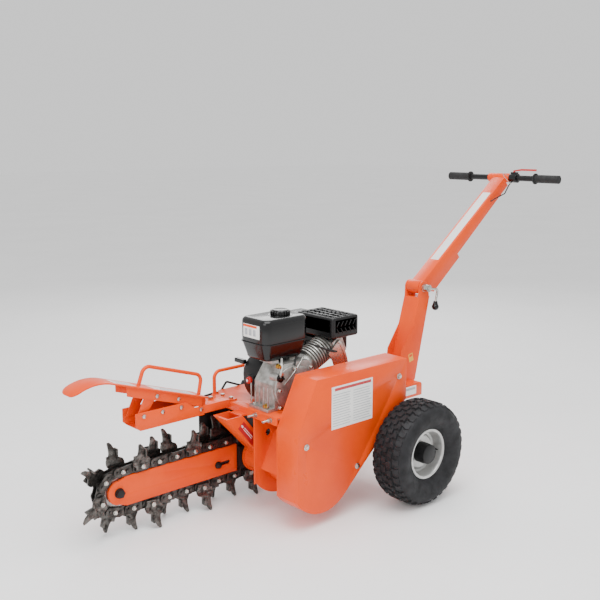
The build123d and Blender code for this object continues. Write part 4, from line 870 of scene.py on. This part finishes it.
def bolt(size_mm, height_mm):
    """A hexagon head on a washer flange, standing along Y."""
    hexagon = [(size_mm * 0.58, 0), (size_mm * 0.56, -height_mm * 0.8), (size_mm * 0.48, -height_mm)]
    washer = [(size_mm * 0.85, 0.6), (size_mm * 0.8, -1.2), (size_mm * 0.5, -1.8)]
    head = turned("head", (0, 0, 0), mm(hexagon), 6)
    flange = turned("flange", (0, 0, 0), mm(washer), 20)
    return join([head, flange])


cover_lo, cover_hi = corners("crankcase_cover")
left, right = cover_lo[0], cover_hi[0]
ring = [(left + 12, 395), (left + 12, 455), (left + 20, 512), (left + 80, 520),
        (right - 20, 512), (right - 10, 450), (right - 12, 394), (left + 70, 388)]
cover_y = (cover_lo[1] + 0.4) * MM
heads = copies(bolt(BOLT, BOLT_HEAD), [Matrix.Translation((x * MM, cover_y, z * MM)) for x, z in ring])
dress(heads, "cover_bolts", zinc, "chassis", "zinc")
case_lo = corners("engine_crankcase")[0]
rib = block((-2 * MM, -2 * MM, -34 * MM), (2 * MM, 2 * MM, 34 * MM), 1.2)
rib_x = (case_lo[0] - 0.5) * MM
ribs = copies(rib, [Matrix.Translation((rib_x, (-150 + RIB_STEP * k) * MM, 432 * MM))
                    for k in range(CASE_RIBS)])
dress(ribs, "case_ribs", casting, "chassis", "cast_alloy")
side_at = ((case_lo[0] + 4) * MM, -140 * MM, 402 * MM)
front_at = ((case_lo[0] + 30) * MM, (case_lo[1] + 1) * MM, 540 * MM)
side_plug = turned("plug", side_at, mm(SIDE_PLUG_OUTLINE), 6, axis="X")
front_plug = turned("plug", front_at, mm(FRONT_PLUG_OUTLINE), 6)
dress(join([side_plug, front_plug]), "brass_plugs", brass, "chassis", "steel")
print("bolts round the cover:", len(ring))

# %% [markdown]
# ## Hoses, rods and wires
# A hose bows under its own weight, so its path is a straight line with a sine-shaped sag. A
# disc is extruded along that path step by step, which is how a swept tube is built by hand.

# %% Plug lead, fuel hose, governor rod and wires
def tube(name, path, radius_mm, mat, body, slot_name, sides=10):
    """A round rod drawn along a path of points in millimetres."""
    points = [Vector(q) * MM for q in path]
    deselect()
    bpy.ops.mesh.primitive_circle_add(vertices=sides, radius=radius_mm * MM, fill_type="NGON")
    obj = bpy.context.object
    aim = (points[1] - points[0]).to_track_quat("Z", "Y").to_matrix().to_4x4()
    obj.matrix_world = Matrix.Translation(points[0]) @ aim
    settle(obj)
    bpy.ops.object.mode_set(mode="EDIT")
    bpy.ops.mesh.select_all(action="SELECT")
    for k in range(1, len(points)):
        bpy.ops.mesh.extrude_region_move(TRANSFORM_OT_translate={"value": points[k] - points[k - 1]})
    bpy.ops.mesh.select_all(action="SELECT")
    bpy.ops.mesh.normals_make_consistent(inside=False)
    bpy.ops.object.mode_set(mode="OBJECT")
    bpy.ops.object.shade_smooth_by_angle(angle=math.radians(50))
    return dress(obj, name, mat, body, slot_name)


def arc(a, b, sag, steps=10):
    """Points from a to b that bow by the vector sag."""
    a, b, sag = Vector(a), Vector(b), Vector(sag)
    return [a.lerp(b, k / steps) + sag * math.sin(math.pi * k / steps) for k in range(steps + 1)]


# name, from, to, sag, radius in mm, finish, body, slot
RUNS = [
    ("plug_lead", (-150, -165, 545), (-262, -130, 590), (0, -34, -6), 3.6,
     grip_rubber, "chassis", "soft_grip"),
    ("fuel_hose", (-300, -120, 552), (-330, -150, 520), (-26, -20, -8), 3.4,
     grip_rubber, "chassis", "soft_grip"),
    ("governor_rod", (-400, -168, 470), (-300, -158, 556), (-8, -16, 4), 1.8, zinc, "chassis", "zinc"),
    ("breather_pipe", (-420, -172, 500), (-395, -150, 556), (-16, -20, 0), 4.0,
     casting, "chassis", "cast_alloy"),
    ("bar_wire", (1020, -66, 1092), (1000, -66, 1128), (-52, 0, 26), 1.6, zinc, "handle", "zinc"),
]
for name, start, end, sag, radius, mat, body, slot_name in RUNS:
    tube(name, arc(start, end, sag), radius, mat, body, slot_name)
knob_lo, knob_hi = corners("engine_switch")
dot_at = (knob_lo[0] * MM, (knob_lo[1] + knob_hi[1]) / 2 * MM, (knob_lo[2] + knob_hi[2]) / 2 * MM)
dot = turned("dot", dot_at, mm([(4.5, 0.4), (4.2, -0.6), (2, -1.0)]), 20, axis="X")
dress(dot, "switch_dot", white_film, "switch", "wear_plastic")
print("tubes and wires:", len(RUNS))

# %% [markdown]
# ## Welds
# The frame is welded sheet and tube, so a bead runs along every joint. A bead is a row of
# overlapping scales about 4 mm long. One scale is modelled and copied with a small change of
# size each time, and the row is painted with the frame.

# %% Beads along the joints
# (radius, along) as shares of the bead's width
SCALE_OUTLINE = [(0.2, -0.42), (0.4, -0.26), (0.5, 0), (0.4, 0.26), (0.2, 0.42)]
SCALE_STEP = 0.55
SIZE_CHANGE = 0.12
POST_FOOT = (350, 424)
DECK_TOP = 306.5


def bead(name, a, b, body, width_mm=5.0):
    """A weld between two points in millimetres."""
    a, b = Vector(a) * MM, Vector(b) * MM
    count = int((b - a).length / (width_mm * SCALE_STEP * MM))
    outline = [(r * MM * width_mm, z * MM * width_mm) for r, z in SCALE_OUTLINE]
    scale_piece = turned("scale", (0, 0, 0), outline, 8, axis="Z")
    aim = (b - a).to_track_quat("Z", "Y").to_matrix().to_4x4()
    places = []
    for k in range(count + 1):
        grow = 1 + SIZE_CHANGE * (random.random() - 0.5)
        places.append(Matrix.Translation(a.lerp(b, k / count)) @ aim @ Matrix.Scale(grow, 4))
    return dress(copies(scale_piece, places), name, orange, body, "orange")


post_lo, post_hi = corners("lower_post")
for name, post_y in (("post_weld_near", post_lo[1]), ("post_weld_far", post_hi[1])):
    bead(name, (POST_FOOT[0], post_y, DECK_TOP), (POST_FOOT[1], post_y, DECK_TOP), "chassis")
bead("neck_weld", (-430, -60.5, 236), (-392, -60.5, 268), "chassis")
print("welds made")

# %% [markdown]
# ## Floor and light
# The floor is a plain pale sheet. One large soft light hangs over the machine, a second
# fills from the camera's side, and a third picks out the far edges. A bright even sky keeps
# the shadows gentle.

# %% Floor, sky and lights
FLOOR_SIZE = 60
FLOOR_Z = -0.0005
SKY_STRENGTH = 1.0
# name, place, aim, size in metres, power in watts
LIGHTS = [("overhead_light", (-0.6, -0.8, 3.2), (0, 0, 0.3), 2.6, 110),
          ("camera_fill", (-3.2, -1.2, 2.0), (0, 0, 0.4), 2.0, 40),
          ("rim_light", (2.2, 2.6, 2.4), (0, 0, 0.5), 2.0, 50)]
deselect()
bpy.ops.mesh.primitive_plane_add(size=FLOOR_SIZE, location=(0, 0, FLOOR_Z))
floor = bpy.context.object
floor.name = "studio_floor"
floor_mat = finish("pale_studio_floor", "FFFFFF", "FBFBFB", 900, 40, 0.01, (0.75, 0.85),
                   grain_mix=0.01)
floor.data.materials.append(floor_mat)
sky = bpy.data.worlds.new("soft_sky")
bpy.context.scene.world = sky
sky.use_nodes = True
background = sky.node_tree.nodes["Background"]
background.inputs["Color"].default_value = (1, 1, 1, 1)
background.inputs["Strength"].default_value = SKY_STRENGTH


def soft_light(name, spot, aim, size, power):
    """A square area light at spot, facing aim."""
    data = bpy.data.lights.new(name, "AREA")
    data.size = size
    data.energy = power
    lamp = bpy.data.objects.new(name, data)
    lamp.location = spot
    lamp.rotation_euler = (Vector(aim) - Vector(spot)).to_track_quat("-Z", "Y").to_euler()
    bpy.context.collection.objects.link(lamp)


for light in LIGHTS:
    soft_light(*light)
print("lights:", len(LIGHTS))

# %% [markdown]
# ## Camera
# The camera stands off the front corner on the belt-guard side, a little above the handle,
# and looks slightly down. A 52 mm lens on a 36 mm sensor keeps the long machine undistorted.

# %% Camera
SENSOR = 36.0
LENS = 52.0
camera_data = bpy.data.cameras.new("camera")
camera_data.sensor_width = SENSOR
camera_data.lens = LENS
camera = bpy.data.objects.new("camera", camera_data)
camera.location = (SHIFT - 2.3016, -2.2970, 1.2858)
looking = Vector((0.6605, 0.7284, -0.1822))
camera.rotation_euler = looking.to_track_quat("-Z", "Y").to_euler()
bpy.context.collection.objects.link(camera)
bpy.context.scene.camera = camera
print("camera at", tuple(camera.location))
